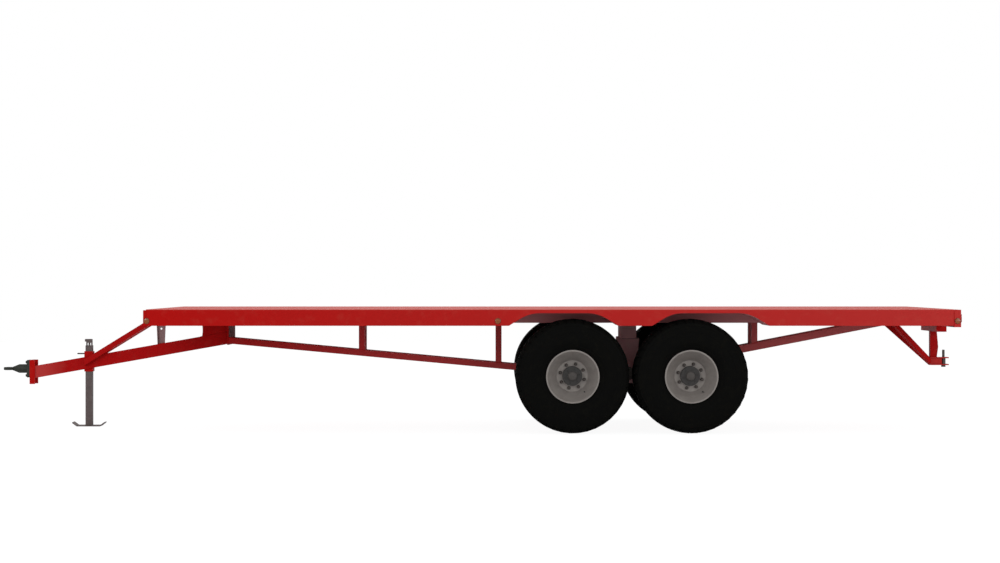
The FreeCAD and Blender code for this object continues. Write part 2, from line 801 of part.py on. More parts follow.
def stand_pin():
    """Lock pin of the stand, drawn back out of the leg, with a bent grip."""
    tip = stand_x - collar_size / 2 + collar_wall
    elbow = Vec(tip - pin_length + pin_radius, 0, pin_z)
    rod = Part.makeCylinder(pin_radius, pin_length - pin_radius, elbow, along_x)
    grip = Part.makeCylinder(pin_radius, pin_bend, elbow, along_y)
    save("stand_pin", rod.fuse([grip, Part.makeSphere(pin_radius, elbow)]).removeSplitter())


def strut_under(x):
    return strut_foot_top + (x - strut_foot_x) * strut_rise - strut_depth


def front_strut(name, side):
    """Square tube from the drawbar's side up to the front bar, closed at its foot."""
    y = side * (drawbar_width + strut_size) / 2
    tube = sloped_tube(strut_under, strut_foot_x, deck_front_x, strut_depth, y,
                       strut_size, strut_wall)
    cap = sloped_bar(strut_under, strut_foot_x, strut_foot_x + strut_wall, strut_depth, y,
                     strut_size)
    save("front_strut_" + name, tube.fuse(cap).removeSplitter())


def pedestal_lug(side):
    """Flat lug with a round end on the outer face of a pedestal, at its front corner."""
    x = beam_x - cross_beam_length / 2 - lug_ahead
    y0, y1 = side * pedestal_outer, side * (pedestal_outer + lug_thickness)
    low = cross_beam_low - lug_drop + lug_width / 2
    flat = box(x - lug_width / 2, x + lug_width / 2, y0, y1, low, cross_beam_low + lug_rise)
    return flat.fuse(round_bar(x, low, lug_width / 2, y0, y1))


def bogie_frame():
    """Cross beam, hanging pedestals, centre carrier and pivot shaft."""
    half, beam_end = cross_beam_length / 2, pedestal_outer - end_cover
    beam = tube_box(beam_x - half, beam_x + half, -beam_end, beam_end,
                    cross_beam_low, spine_under, cross_beam_wall, 1)
    save("bogie_cross_beam", beam)
    top = pedestal_top_length / 2
    top_x = beam_x + pedestal_top_shift
    outline = [(top_x - top, cross_beam_low), (top_x + top, cross_beam_low),
               (pivot_x + pedestal_hub, wheel_radius), (pivot_x - pedestal_hub, wheel_radius)]
    bore = pivot_radius + running_gap
    pedestals = []
    for side in sides.values():
        y0, y1 = side * pedestal_inner, side * pedestal_outer
        block = side_plate(outline, y0, y1)
        inner = side * (pedestal_inner + pedestal_wall), side * (pedestal_outer - pedestal_wall)
        room = box(pivot_x - 2 * top, pivot_x + 2 * top, *inner,
                   wheel_radius + pedestal_hub, cross_beam_low - pedestal_wall)
        block = block.cut(room).fuse(round_bar(pivot_x, wheel_radius, pedestal_hub, y0, y1))
        block = block.fuse(pedestal_lug(side))
        block = block.fuse(box(beam_x - half, beam_x + half,
                               y1 - side * end_cover, y1 + side * end_cover,
                               cross_beam_low - end_cover, spine_under))
        past = side * overrun
        hole = round_bar(pivot_x, wheel_radius, bore, y0 - past, y1 + past)
        pedestals.append(block.cut(hole).removeSplitter())
    save("pivot_pedestals", *pedestals)
    half = spine_width / 2
    carrier = box(carrier_front_x, carrier_rear_x, -half, half, carrier_low, carrier_high)
    hole = round_bar(pivot_x, wheel_radius, bore, -half - overrun, half + overrun)
    save("pivot_carrier", carrier.cut(hole))
    shaft = round_bar(pivot_x, wheel_radius, pivot_radius, -pivot_end, pivot_end)
    for side in sides.values():
        cap_y = side * (pivot_end - pivot_cap)
        shaft = shaft.fuse(round_bar(pivot_x, wheel_radius, pivot_cap_radius,
                                     cap_y, side * pivot_end))
    save("pivot_shaft", shaft.removeSplitter())


def rocker_beam(name, side):
    """Beam that carries one wheel at each end and rocks on the pivot shaft."""
    y0, y1 = side * rocker_inner, side * rocker_outer
    outline = [(front_axle_x, wheel_radius - rocker_end), (pivot_x, wheel_radius - rocker_hub),
               (rear_axle_x, wheel_radius - rocker_end), (rear_axle_x, wheel_radius + rocker_end),
               (pivot_x, wheel_radius + rocker_waist), (front_axle_x, wheel_radius + rocker_end)]
    beam = side_plate(outline, y0, y1)
    beam = beam.fuse([round_bar(front_axle_x, wheel_radius, rocker_end, y0, y1),
                      round_bar(rear_axle_x, wheel_radius, rocker_end, y0, y1),
                      round_bar(pivot_x, wheel_radius, rocker_hub, y0, y1)])
    hole = round_bar(pivot_x, wheel_radius, pivot_radius + running_gap,
                     y0 - side * overrun, y1 + side * overrun)
    save("rocker_beam_" + name, beam.cut(hole).removeSplitter())


def stub_axles():
    """Spindle, root flange and brake back plate at each end of both rockers."""
    axles = []
    for side in sides.values():
        for x in (front_axle_x, rear_axle_x):
            root = side * rocker_outer
            spindle = round_bar(x, wheel_radius, spindle_radius, root, side * spindle_end)
            flange = round_bar(x, wheel_radius, spindle_flange, root,
                               root + side * spindle_flange_thickness)
            plate = round_bar(x, wheel_radius, back_plate, side * back_plate_y,
                              side * (back_plate_y + back_plate_thickness))
            axles.append(spindle.fuse([flange, plate]).removeSplitter())
    save("stub_axles", *axles)


def wheel_rim(x, side):
    """Pressed rim with a well, two flanges and a deep conical disc with a centre hole."""
    half, flange = rim_width / 2, rim_radius + rim_flange
    lip, inner = half + rim_lip, rim_radius - rim_sheet
    well = rim_radius - rim_well
    well_half = rim_well_half
    slope = rim_well_half + rim_well_slope
    disc_in = disc_place - disc_thickness
    outer = [(-lip, flange), (-half, flange), (-half, rim_radius), (-slope, rim_radius),
             (-well_half, well), (well_half, well), (slope, rim_radius),
             (half, rim_radius), (half, flange), (lip, flange)]
    disc = [(lip, inner), (disc_place, disc_flat), (disc_place, disc_hole),
            (disc_in, disc_hole), (disc_in, disc_flat), (lip - disc_thickness, inner),
            (slope, inner), (well_half, well - rim_sheet)]
    rest = [(-well_half, well - rim_sheet), (-slope, inner), (-lip, inner), (-lip, flange)]
    return revolved(profile_line(outer + disc + rest), x, wheel_middle_y, side)


def wheel_hub(x, side):
    """Hub on the spindle: brake drum, wheel flange, nose through the disc and cap."""
    seat = disc_place - disc_thickness
    inner = -hub_inset
    drum_end = inner + drum_length
    nose = seat + hub_nose_length
    cap = nose + hub_cap_length
    bore = spindle_radius + running_gap
    bore_end = spindle_past + overrun
    back = seat - hub_flange_thickness
    points = [(inner, bore), (inner, drum_radius), (drum_end, drum_radius),
              (drum_end, hub_body), (back, hub_body), (back, hub_flange), (seat, hub_flange),
              (seat, hub_nose), (nose, hub_nose), (nose, hub_cap), (cap, hub_cap), (cap, 0),
              (bore_end, 0), (bore_end, bore), (inner, bore)]
    return revolved(profile_line(points), x, wheel_middle_y, side)


def tyre_edges(inset, tread, bead):
    """Half outline of the tyre, outside or inside, from bead to crown."""
    height = wheel_radius - rim_radius
    bead_y = rim_width / 2 - bead
    bulge = tyre_width / 2 - inset, rim_radius + height * tyre_bulge_share
    shoulder = tyre_shoulder_half - inset, rim_radius + height * tyre_shoulder_share - tread / 2
    crown = tyre_crown_half - inset, wheel_radius - tyre_crown_drop - tread
    start = bead_y, rim_radius + 2 * rim_flange
    return bead_y, start, bulge, shoulder, crown


def tyre(x, side):
    """Hollow tyre, open at its beads, with round sidewalls and a slightly round crown."""
    bead_radius = rim_radius + tyre_bead_gap
    edges = []
    for hand in (1, -1):
        ends = []
        for inset, tread, bead in ((0, 0, tyre_bead_gap), (tyre_sidewall, tyre_tread, tyre_sidewall)):
            bead_y, start, bulge, shoulder, crown = tyre_edges(inset, tread, bead)
            foot = hand * bead_y, bead_radius
            ends.append(foot)
            edges += profile_line([foot, (hand * start[0], start[1])])
            edges += [bulging_arc(bulge, start, hand), bulging_arc(bulge, shoulder, hand)]
            edges += profile_line([(hand * y, r) for y, r in (shoulder, crown)])
        edges += profile_line(ends)
    for inset, tread in ((0, 0), (tyre_sidewall, tyre_tread)):
        crown = tyre_edges(inset, tread, 0)[4]
        edges.append(profile_arc((-crown[0], crown[1]), (0, wheel_radius - tread), crown))
    return revolved(edges, x, wheel_middle_y, side)


def wheels():
    for name, side in sides.items():
        for place, x in (("front", front_axle_x), ("rear", rear_axle_x)):
            save("tyre_" + place + "_" + name, tyre(x, side))
            save("rim_" + place + "_" + name, wheel_rim(x, side))
            save("hub_" + place + "_" + name, wheel_hub(x, side))


def rear_hitch_frame():
    """Cross bar under the deck's rear edge, post, gusset and two braces."""
    bar = box(hitch_bar_front_x, hitch_bar_rear_x, -hitch_bar_half, hitch_bar_half,
              hitch_bar_low, hitch_bar_top)
    inside = hitch_bar_half - hitch_bar_wall
    bar = bar.cut(box(hitch_bar_front_x + hitch_bar_wall, hitch_bar_rear_x - hitch_bar_wall,
                      -inside, inside, hitch_bar_low + hitch_bar_wall,
                      hitch_bar_top - hitch_bar_wall))
    for side in sides.values():
        bar = bar.cut(upright_bar((hitch_bar_front_x + hitch_bar_rear_x) / 2,
                                  side * (hitch_bar_half - hitch_bar_drain_inset),
                                  hitch_bar_drain, hitch_bar_low - overrun,
                                  hitch_bar_low + hitch_bar_wall + overrun))
    save("hitch_cross_bar", bar)
    half = hitch_post_size / 2
    save("hitch_post", tube_box(hitch_post_front_x, deck_rear_x, -half, half,
                                hitch_high, hitch_bar_low, hitch_bar_wall, 2))
    thick = hitch_gusset_thickness / 2
    widest = hitch_high + (hitch_bar_low - hitch_high) * hitch_gusset_share
    outline = [(deck_rear_x, hitch_high), (deck_rear_x + hitch_gusset / 2, hitch_high),
               (deck_rear_x + hitch_gusset, widest),
               (deck_rear_x + hitch_gusset / 2, hitch_bar_low), (deck_rear_x, hitch_bar_low)]
    save("hitch_gusset", side_plate(outline, -thick, thick))
    braces = []
    for side in sides.values():
        start = Vec(hitch_post_front_x, side * (half + brace_size) / 2,
                    hitch_low + brace_foot)
        end = Vec(deck_rear_x - brace_top_ahead, side * brace_top_out, cross_under)
        brace = tube_between(start, end, brace_size, brace_wall, 2 * brace_size, 2 * brace_size)
        above = box(eye_tip_x, hitch_end_x, -half_width, half_width,
                    cross_under, 2 * deck_height)
        behind = box(hitch_post_front_x, hitch_end_x, -half_width, half_width, 0, deck_height)
        below = box(eye_tip_x, hitch_end_x, -half_width, half_width, 0, hitch_low)
        other = box(eye_tip_x, hitch_end_x, -side * half_width, side * overrun / 2,
                    0, 2 * deck_height)
        braces.append(brace.cut([above, behind, below, other]))
    save("hitch_braces", *braces)


def rear_hitch_jaw():
    """Block behind the braces with an upper and a lower jaw plate, and its pin."""
    half, wide = hitch_tongue_width / 2, hitch_plate_width / 2
    tongue_end = deck_rear_x + hitch_tongue
    jaw = box(hitch_post_front_x, tongue_end, -half, half, hitch_low, hitch_high)
    for low in (hitch_low, hitch_high - hitch_plate):
        jaw = jaw.fuse(box(hitch_post_front_x, hitch_end_x, -wide, wide,
                           low, low + hitch_plate))
    pin_x = hitch_end_x - hitch_pin_back
    hole = upright_bar(pin_x, 0, hitch_pin_root + running_gap,
                       hitch_low - overrun, hitch_high + overrun)
    save("hitch_jaw", jaw.cut(hole).removeSplitter())
    top = hitch_high + hitch_pin_above
    pin = upright_bar(pin_x, 0, hitch_pin_radius, hitch_low - hitch_pin_below, top)
    pin = pin.makeChamfer(hitch_pin_chamfer,
                          [e for e in pin.Edges if e.BoundBox.ZMin > top - overrun])
    nut = upright_bar(pin_x, 0, hitch_nut_radius, hitch_low - hitch_pin_below, hitch_low)
    spacer = upright_bar(pin_x, 0, hitch_spacer_radius, hitch_low + hitch_plate,
                         hitch_high - hitch_plate)
    root = upright_bar(pin_x, 0, hitch_pin_root, hitch_low, hitch_high)
    save("hitch_pin", pin.fuse([nut, spacer, root]).removeSplitter())


def lamps():
    """Round amber side markers, and long lamps on the rear bar."""
    markers = []
    for side in sides.values():
        for x in marker_places:
            markers.append(round_bar(x, marker_z, marker_radius,
                                     side * half_width, side * (half_width + marker_thickness)))
    save("side_markers", *markers)
    middle = (hitch_bar_top + deck_height - rear_bar_drop) / 2
    lenses = []
    for side in sides.values():
        y0 = side * (lamp_out - lamp_width / 2)
        y1 = side * (lamp_out + lamp_width / 2)
        lenses.append(box(deck_rear_x, deck_rear_x + lamp_thickness, y0, y1,
                          middle - lamp_height / 2, middle + lamp_height / 2))
    save("rear_lamps", *lenses)


deck_floor()
cross_members()
wheel_arches()
end_bars()
truss_posts()
spine_ties()
drawbar_beam()
drawbar_head()
deck_uprights()
coupling_channel()
towing_eye()
parking_stand()
stand_pin()
bogie_frame()
stub_axles()
wheels()
rear_hitch_frame()
rear_hitch_jaw()
lamps()
for side_name, hand in sides.items():
    side_rail(side_name, hand)
    top_chord(side_name, hand)
    lower_chord(side_name, hand)
    front_strut(side_name, hand)
    rocker_beam(side_name, hand)
print("overall length", overall_length)
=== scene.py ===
# %% [markdown]
# # A flat deck trailer on a tandem bogie
# The exact model of the trailer is loaded first and stays as it is. This script gives its pieces
# their paint, rubber and steel, and adds what is too small for the exact model: tread lugs, wheel
# nuts, bolts, weld seams and lamp lenses. Lengths are metres, +X is the rear, +Y the right side.

# %% Load the exact model and keep its box
import bmesh
import bpy
import math
from mathutils import Matrix, Vector


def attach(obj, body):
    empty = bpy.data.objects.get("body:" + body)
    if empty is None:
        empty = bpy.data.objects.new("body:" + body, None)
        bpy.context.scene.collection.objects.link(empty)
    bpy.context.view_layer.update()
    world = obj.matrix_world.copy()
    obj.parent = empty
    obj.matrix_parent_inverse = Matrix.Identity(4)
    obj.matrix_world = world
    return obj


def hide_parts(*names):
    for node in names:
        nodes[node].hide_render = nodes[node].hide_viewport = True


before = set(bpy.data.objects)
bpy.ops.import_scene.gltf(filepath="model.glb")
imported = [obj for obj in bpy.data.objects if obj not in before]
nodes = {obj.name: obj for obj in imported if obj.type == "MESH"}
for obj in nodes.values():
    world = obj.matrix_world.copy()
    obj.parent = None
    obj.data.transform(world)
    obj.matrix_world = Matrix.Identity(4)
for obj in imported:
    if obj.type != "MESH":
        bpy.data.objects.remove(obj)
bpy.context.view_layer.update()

mm = 0.001
sides = {"left": -1, "right": 1}
ends = ("front", "rear")
print("loaded", len(nodes), "pieces of the exact model")

# %% [markdown]
# The photograph is taken level and square to the trailer's side, from about 21 m away, a little
# above the deck. A long lens at that distance shows just a thin strip of the deck's top, so the
# camera's height and distance matter more than its lens. The lens follows from the scale at the
# near side of the deck: 11 mm a pixel.

# %% Camera
def placed(name, data):
    """Puts a camera, a lamp or a mesh in the scene."""
    thing = bpy.data.objects.new(name, data)
    bpy.context.scene.collection.objects.link(thing)
    return thing


near_side = 1.25
camera_x = 0.281
camera_height = 1.684
camera_distance = 21.0
sensor = 36.0
near_scale = 11.0 * mm
picture_width = 1000

lens = bpy.data.cameras.new("photo_lens")
lens.sensor_width = sensor
lens.lens = camera_distance / near_scale * sensor / picture_width
lens.clip_end = 200.0
camera = placed("photo_camera", lens)
camera.location = (camera_x, -near_side - camera_distance, camera_height)
camera.rotation_euler = (math.radians(90), 0, 0)
bpy.context.scene.camera = camera
bpy.context.scene.view_settings.view_transform = "Standard"
print("lens", round(lens.lens, 1), "mm")

# %% [markdown]
# Every material is a small graph of nodes. Helpers keep the graphs short: one turns a screen
# colour, written as six hex digits, into the linear values that light is worked out with, one adds
# a node with its settings and its links, and two begin and end a material.

# %% Helpers for colours and nodes
def tint(code):
    """Screen colour as hex digits, as linear red, green, blue and alpha."""
    parts = [int(code[i:i + 2], 16) / 255 for i in (0, 2, 4)]
    return [p / 12.92 if p < 0.04045 else ((p + 0.055) / 1.055) ** 2.4 for p in parts] + [1.0]


def add_node(tree, kind, settings=None, links=None):
    """Adds a node, sets its properties or inputs, links sockets into it and gives its outputs."""
    new = tree.nodes.new(kind if "Node" in kind else "ShaderNode" + kind)
    for key, value in (settings or {}).items():
        if isinstance(key, str) and hasattr(new, key):
            setattr(new, key, value)
        else:
            new.inputs[key].default_value = value
    for key, source in (links or {}).items():
        tree.links.new(source, new.inputs[key])
    return new.outputs


def new_material(name):
    """A material with an empty graph, and the graph."""
    material = bpy.data.materials.new(name)
    material.use_nodes = True
    material.node_tree.nodes.clear()
    return material, material.node_tree


def end_material(tree, settings, colour, height, strength, distance, dull=None):
    """Ends a graph in a bump and a surface that takes its colour and perhaps its dullness."""
    bump = add_node(tree, "Bump", {"Strength": strength, "Distance": distance}, {"Height": height})
    links = {"Base Color": colour, "Normal": bump[0]}
    if dull:
        links["Roughness"] = dull["Result"]
    surface = add_node(tree, "BsdfPrincipled", settings, links)
    add_node(tree, "OutputMaterial", None, {"Surface": surface[0]})


print("the middle grey of a screen is", round(tint("808080")[0], 3), "of white in light")

# %% [markdown]
# The floor and the background are plain white, as in the photograph. White that comes from more
# light would wash out the red, so it comes from the colour that the camera and the reflections
# see, while the light on the trailer stays at a plain level.

# %% White background
world = bpy.data.worlds.new("studio")
bpy.context.scene.world = world
world.use_nodes = True
air = world.node_tree
air.nodes.clear()
path = add_node(air, "LightPath")
seen = add_node(air, "Math", {"operation": "MAXIMUM"},
                {0: path["Is Camera Ray"], 1: path["Is Glossy Ray"]})
seen = add_node(air, "Math", {"operation": "MAXIMUM"}, {0: seen[0], 1: path["Is Transmission Ray"]})
soft = add_node(air, "Background", {"Color": tint("f4f6fa"), "Strength": 0.78})
white = add_node(air, "Background", {"Color": tint("ffffff"), "Strength": 1.0})
both = add_node(air, "MixShader", None, {0: seen[0], 1: soft[0], 2: white[0]})
add_node(air, "OutputWorld", None, {"Surface": both[0]})
print("background graph:", len(air.nodes), "nodes")

# %% [markdown]
# The floor is a large sheet with two surfaces in one. The camera sees mostly an even white glow, and
# a share of matt floor under it keeps the trailer's shadow.

# %% White floor
floor_size = 60.0
material, tree = new_material("white_studio_floor")
path = add_node(tree, "LightPath")
matt = add_node(tree, "BsdfDiffuse", {"Color": tint("f2f2f2")})
lit = add_node(tree, "Emission", {"Color": tint("ffffff"), "Strength": 1.1})
share = add_node(tree, "Math", {"operation": "MULTIPLY", 1: 0.85}, {0: path["Is Camera Ray"]})
both = add_node(tree, "MixShader", None, {0: share[0], 1: matt[0], 2: lit[0]})
add_node(tree, "OutputMaterial", None, {"Surface": both[0]})
mesh = bpy.data.meshes.new("studio_floor")
half = floor_size / 2
mesh.from_pydata([(-half, -half, 0), (half, -half, 0), (half, half, 0), (-half, half, 0)],
                 [], [(0, 1, 2, 3)])
mesh.materials.append(material)
floor = placed("studio_floor", mesh)
print("floor", floor_size, "m wide")

# %% [markdown]
# Three soft lamps light the trailer: a key lamp from ahead on the near side, a weaker one from
# behind on the near side, and one high over the far side that draws the upper edges.

# %% Soft lamps
def soft_lamp(name, place, aim, size, power):
    """A rectangular lamp at a place, turned to what it lights."""
    lamp = bpy.data.lights.new(name, "AREA")
    lamp.shape = "RECTANGLE"
    lamp.size, lamp.size_y = size
    lamp.energy = power
    holder = placed(name, lamp)
    holder.location = place
    holder.rotation_euler = (Vector(aim) - Vector(place)).to_track_quat("-Z", "Y").to_euler()


soft_lamp("key_lamp", place=(-9.0, -12.0, 6.0), aim=(0.0, 0.0, 0.8), size=(9.0, 5.0), power=430)
soft_lamp("fill_lamp", place=(11.0, -11.0, 4.0), aim=(1.5, 0.0, 0.8), size=(8.0, 5.0), power=370)
soft_lamp("back_lamp", place=(0.0, 9.0, 9.0), aim=(0.0, 0.0, 1.0), size=(12.0, 4.0), power=260)
print("lamps:", len(bpy.data.lights))

# %% [markdown]
# ## Paint
# The frame is welded steel, primed and sprayed with red two-pack gloss. Sprayed paint has a fine
# orange peel, about 4 mm from bump to bump, and road dust settles in soft patches that make it
# duller. Where an edge or a rubbed spot shows, the paint is thinner and darker. A pale pink is
# painted in towards the rear and on the drawbar's nose: painted sheen, the white sky's reflection
# that gloss shows at a grazing angle. One function makes the five reds: the deck's bright red, the
# frame's deeper red, the same red with a stronger painted sheen on the spine, and the pale dusty
# reds of the sheets over the wheels and of the bogie, lightened as painted light for the little
# light that reaches them.

# %% Sprayed paint
deck_front, deck_rear = -3.6, 5.4
nose_rear, nose_front = -4.75, -5.02


def sprayed_paint(name, base, faded, dust, roughness, dust_share, rearward_sheen=0.0, nose_sheen=0.0,
                  sheen_colour="c05a56"):
    """Gloss paint with faded patches, dust, fine peel, darkened edges and painted sheen at the ends."""
    material, tree = new_material(name)
    where = add_node(tree, "TexCoord")["Object"]
    patches = add_node(tree, "TexNoise", {"Scale": 1.6, "Detail": 4.0, "Roughness": 0.55},
                       {"Vector": where})
    tone = add_node(tree, "Mix", {"data_type": "RGBA", 6: tint(base), 7: tint(faded)},
                    {0: patches["Fac"]})
    parts = add_node(tree, "SeparateXYZ", None, {0: where})
    # A paler pink towards the rear and the nose is painted sheen, the white sky's reflection on gloss.
    sheen_rearward = add_node(tree, "MapRange",
                        {"From Min": deck_front, "From Max": deck_rear, "To Max": rearward_sheen},
                        {"Value": parts[0]})
    sheen_forward = add_node(tree, "MapRange", {"From Min": nose_rear, "From Max": nose_front, "To Max": nose_sheen},
                       {"Value": parts[0]})
    sheen_share = add_node(tree, "Math", {"operation": "ADD"}, {0: sheen_rearward["Result"], 1: sheen_forward["Result"]})
    tone = add_node(tree, "Mix", {"data_type": "RGBA", 7: tint(sheen_colour)}, {0: sheen_share[0], 6: tone[2]})
    grime = add_node(tree, "TexNoise", {"Scale": 9.0, "Detail": 8.0, "Roughness": 0.65},
                     {"Vector": where})
    thin = add_node(tree, "MapRange", {"From Min": 0.52, "From Max": 0.78, "To Max": dust_share},
                    {"Value": grime["Fac"]})
    dusty = add_node(tree, "Mix", {"data_type": "RGBA", 7: tint(dust)}, {0: thin["Result"], 6: tone[2]})
    edge = add_node(tree, "Bevel", {"samples": 4, "Radius": 4 * mm})
    flat = add_node(tree, "NewGeometry")
    turn = add_node(tree, "VectorMath", {"operation": "DOT_PRODUCT"}, {0: edge[0], 1: flat["Normal"]})
    worn = add_node(tree, "MapRange", {"From Min": 0.995, "From Max": 0.8, "To Max": 0.45},
                    {"Value": turn["Value"]})
    rubbed = add_node(tree, "Mix", {"data_type": "RGBA", 7: tint("4a1513")},
                      {0: worn["Result"], 6: dusty[2]})
    dull = add_node(tree, "MapRange", {"To Min": roughness, "To Max": roughness + 0.3},
                    {"Value": thin["Result"]})
    peel = add_node(tree, "TexNoise", {"Scale": 250.0, "Detail": 1.0}, {"Vector": where})
    end_material(tree, {"IOR": 1.5, "Specular IOR Level": 0.02}, colour=rubbed[2],
                 height=peel["Fac"], strength=0.04, distance=0.3 * mm, dull=dull)
    return material


deck_red = sprayed_paint("red_two_pack_gloss_sprayed", "ac0e0c", "a4110e", "b06a58",
                         roughness=0.34, dust_share=0.10, rearward_sheen=0.22)
frame_red = sprayed_paint("deep_red_gloss_sprayed", "a60d0e", "9c1010", "8a5a4c",
                          roughness=0.38, dust_share=0.12, nose_sheen=0.32)
spine_red = sprayed_paint("deep_red_gloss_sprayed_with_painted_sheen", "a60d0e", "9c1010", "8a5a4c",
                          roughness=0.45, dust_share=0.12, rearward_sheen=0.62, sheen_colour="b07070")
# The pale base colours of these two reds are painted light: they lighten parts that little light
# reaches.
arch_red_lightened = sprayed_paint("dusty_red_lightened_as_painted_light", "bc7b7c", "ae7172", "a0867c",
                          roughness=0.55, dust_share=0.35)
bogie_red = sprayed_paint("dusty_red_lightened_as_painted_light_bogie", "c49697", "b88c8d", "ac968c",
                          roughness=0.6, dust_share=0.35)
print("five reds, each of", len(deck_red.node_tree.nodes), "nodes")

# %% [markdown]
# The deck is chequered plate: rolled steel with raised lozenges about 25 mm long that lie in two
# crossing directions. They stand up only 1.5 mm, so the material raises them, which keeps a floor
# of some ten thousand lozenges light. The paint on their tops is scuffed by loads.

# %% Chequered plate
lozenge_pitch = 30 * mm
lozenge_height = 1.5 * mm
slimness_along, slimness_across = 2.3, 6.5
flank_slope = 3.0
soft_top = 0.2


def chequered_plate(name, base, scuffed):
    """Painted floor plate with lozenges in two directions on a chequered grid."""
    material, tree = new_material(name)
    where = add_node(tree, "TexCoord")["Object"]
    cell = add_node(tree, "VectorMath", {"operation": "SCALE", "Scale": 1 / lozenge_pitch}, {0: where})
    parts = add_node(tree, "SeparateXYZ", None, {0: cell[0]})

    def calc(operation, first, second=None, third=None):
        """One sum, with numbers as plain inputs and sockets as links."""
        values, links = {"operation": operation}, {}
        for place, item in enumerate((first, second, third)):
            if hasattr(item, "default_value"):
                links[place] = item
            elif item is not None:
                values[place] = item
        return add_node(tree, "Math", values, links)[0]

    def lozenges(offset, hand):
        """1 inside the lozenges of every second cell, turned to one side."""
        x = calc("ADD", parts[0], offset)
        y = parts[1]
        diagonal = calc("MULTIPLY", calc("ADD", x, y), 0.5)
        other = calc("MULTIPLY", calc("SUBTRACT", x, y), 0.5)
        along = calc("ABSOLUTE", calc("SUBTRACT", calc("FRACT", diagonal), 0.5))
        across = calc("ABSOLUTE", calc("SUBTRACT", calc("FRACT", other), 0.5))
        long_part, short_part = (along, across) if hand > 0 else (across, along)
        reach = calc("ADD", calc("MULTIPLY", long_part, slimness_along),
                     calc("MULTIPLY", short_part, slimness_across))
        flank = calc("MULTIPLY", calc("SUBTRACT", 1.0, reach), flank_slope)
        return calc("SMOOTH_MIN", calc("MAXIMUM", flank, 0.0), 1.0, soft_top)

    raised = calc("MAXIMUM", lozenges(0.0, 1), lozenges(1.0, -1))
    patches = add_node(tree, "TexNoise", {"Scale": 2.2, "Detail": 6.0, "Roughness": 0.6},
                       {"Vector": where})
    scuff = add_node(tree, "MapRange",
                     {"From Min": 0.45, "From Max": 0.7, "To Min": 0.15, "To Max": 0.75},
                     {"Value": patches["Fac"]})
    bare = calc("MULTIPLY", raised, scuff["Result"])
    tone = add_node(tree, "Mix", {"data_type": "RGBA", 6: tint(base), 7: tint(scuffed)}, {0: bare})
    dull = add_node(tree, "MapRange", {"To Min": 0.6, "To Max": 0.85}, {"Value": patches["Fac"]})
    end_material(tree, {"IOR": 1.5, "Specular IOR Level": 0.25}, colour=tone[2],
                 height=raised, strength=0.6, distance=lozenge_height, dull=dull)
    return material


# The plate's paler, pinker red is painted sheen on red paint: the white sky's reflection at a grazing
# angle.
floor_plate_painted_sheen = chequered_plate("red_chequered_steel_plate_pinked_as_painted_sheen", "c4544c", "ba8e86")
print("lozenges every", round(lozenge_pitch / mm), "mm")

# %% [markdown]
# ## Bare metals
# The parking stand and the two uprights are hot-dip galvanised: the zinc freezes in patches
# about 30 mm wide, called spangle, and turns dull grey outdoors. The towing eye is forged and oiled
# almost black, and the pins are plain turned steel. These are metallic, so their colour is the
# colour of their reflections. Rims and hubs are painted and only a little metallic. The roughness
# says how each was made.

# %% Metals
def plain_metal(name, low, high, roughness, grain, metallic, spread=0.2, pits=0.2):
    """Metal whose colour and dullness wander between two values. Grain and pits are in mm."""
    material, tree = new_material(name)
    where = add_node(tree, "TexCoord")["Object"]
    grains = add_node(tree, "TexVoronoi", {"Scale": 1 / (grain * mm)}, {"Vector": where})
    value = add_node(tree, "SeparateColor", None, {0: grains["Color"]})
    cloud = add_node(tree, "TexNoise", {"Scale": 6.0, "Detail": 5.0, "Roughness": 0.6},
                     {"Vector": where})
    both = add_node(tree, "Math", {"operation": "MULTIPLY_ADD", 1: 0.35}, {0: value[0], 2: cloud["Fac"]})
    place = add_node(tree, "MapRange", {"From Min": 0.35, "From Max": 1.0}, {"Value": both[0]})
    tone = add_node(tree, "Mix", {"data_type": "RGBA", 6: tint(low), 7: tint(high)},
                    {0: place["Result"]})
    dull = add_node(tree, "MapRange", {"To Min": roughness, "To Max": roughness + spread},
                    {"Value": cloud["Fac"]})
    pitted = add_node(tree, "TexNoise", {"Scale": 180.0, "Detail": 3.0}, {"Vector": where})
    end_material(tree, {"Metallic": metallic}, colour=tone[2],
                 height=pitted["Fac"], strength=0.3, distance=pits * mm, dull=dull)
    return material


# The stand's zinc is darkened as painted shade, and the uprights' zinc is lighter and pinker as painted
# light: one zinc, shaded and lit.
stand_zinc_painted_shade = plain_metal("hot_dip_galvanised_steel_darkened_as_painted_shade", "504645", "625755",
                         roughness=0.5, grain=30, metallic=0.6)
upright_zinc_painted_light = plain_metal("hot_dip_galvanised_steel_lightened_as_painted_light", "7b5f5f", "8f7271",
                           roughness=0.5, grain=30, metallic=0.5)
forging = plain_metal("oiled_black_forged_steel", "1e211a", "31332c",
                      roughness=0.45, grain=14, metallic=0.5, spread=0.3, pits=0.5)
turned_steel = plain_metal("turned_steel_oil_darkened", "3a3532", "57504c",
                           roughness=0.35, grain=8, metallic=0.9, pits=0.1)
hub_paint = plain_metal("cast_iron_hub_painted_dark_grey", "242220", "312e2c",
                        roughness=0.5, grain=12, metallic=0.2, pits=0.5)
rim_paint = plain_metal("pressed_steel_rim_silver_paint", "7b746f", "86807a",
                        roughness=0.42, grain=40, metallic=0.2, pits=0.15)
zinc_bolts = plain_metal("zinc_plated_fastener_steel", "77746c", "99958a",
                         roughness=0.35, grain=5, metallic=0.9, spread=0.25, pits=0.1)
nut_paint = plain_metal("wheel_nut_steel_weathered", "3c3734", "544d49",
                        roughness=0.45, grain=6, metallic=0.6)
print("eight metals, each of", len(stand_zinc_painted_shade.node_tree.nodes), "nodes")

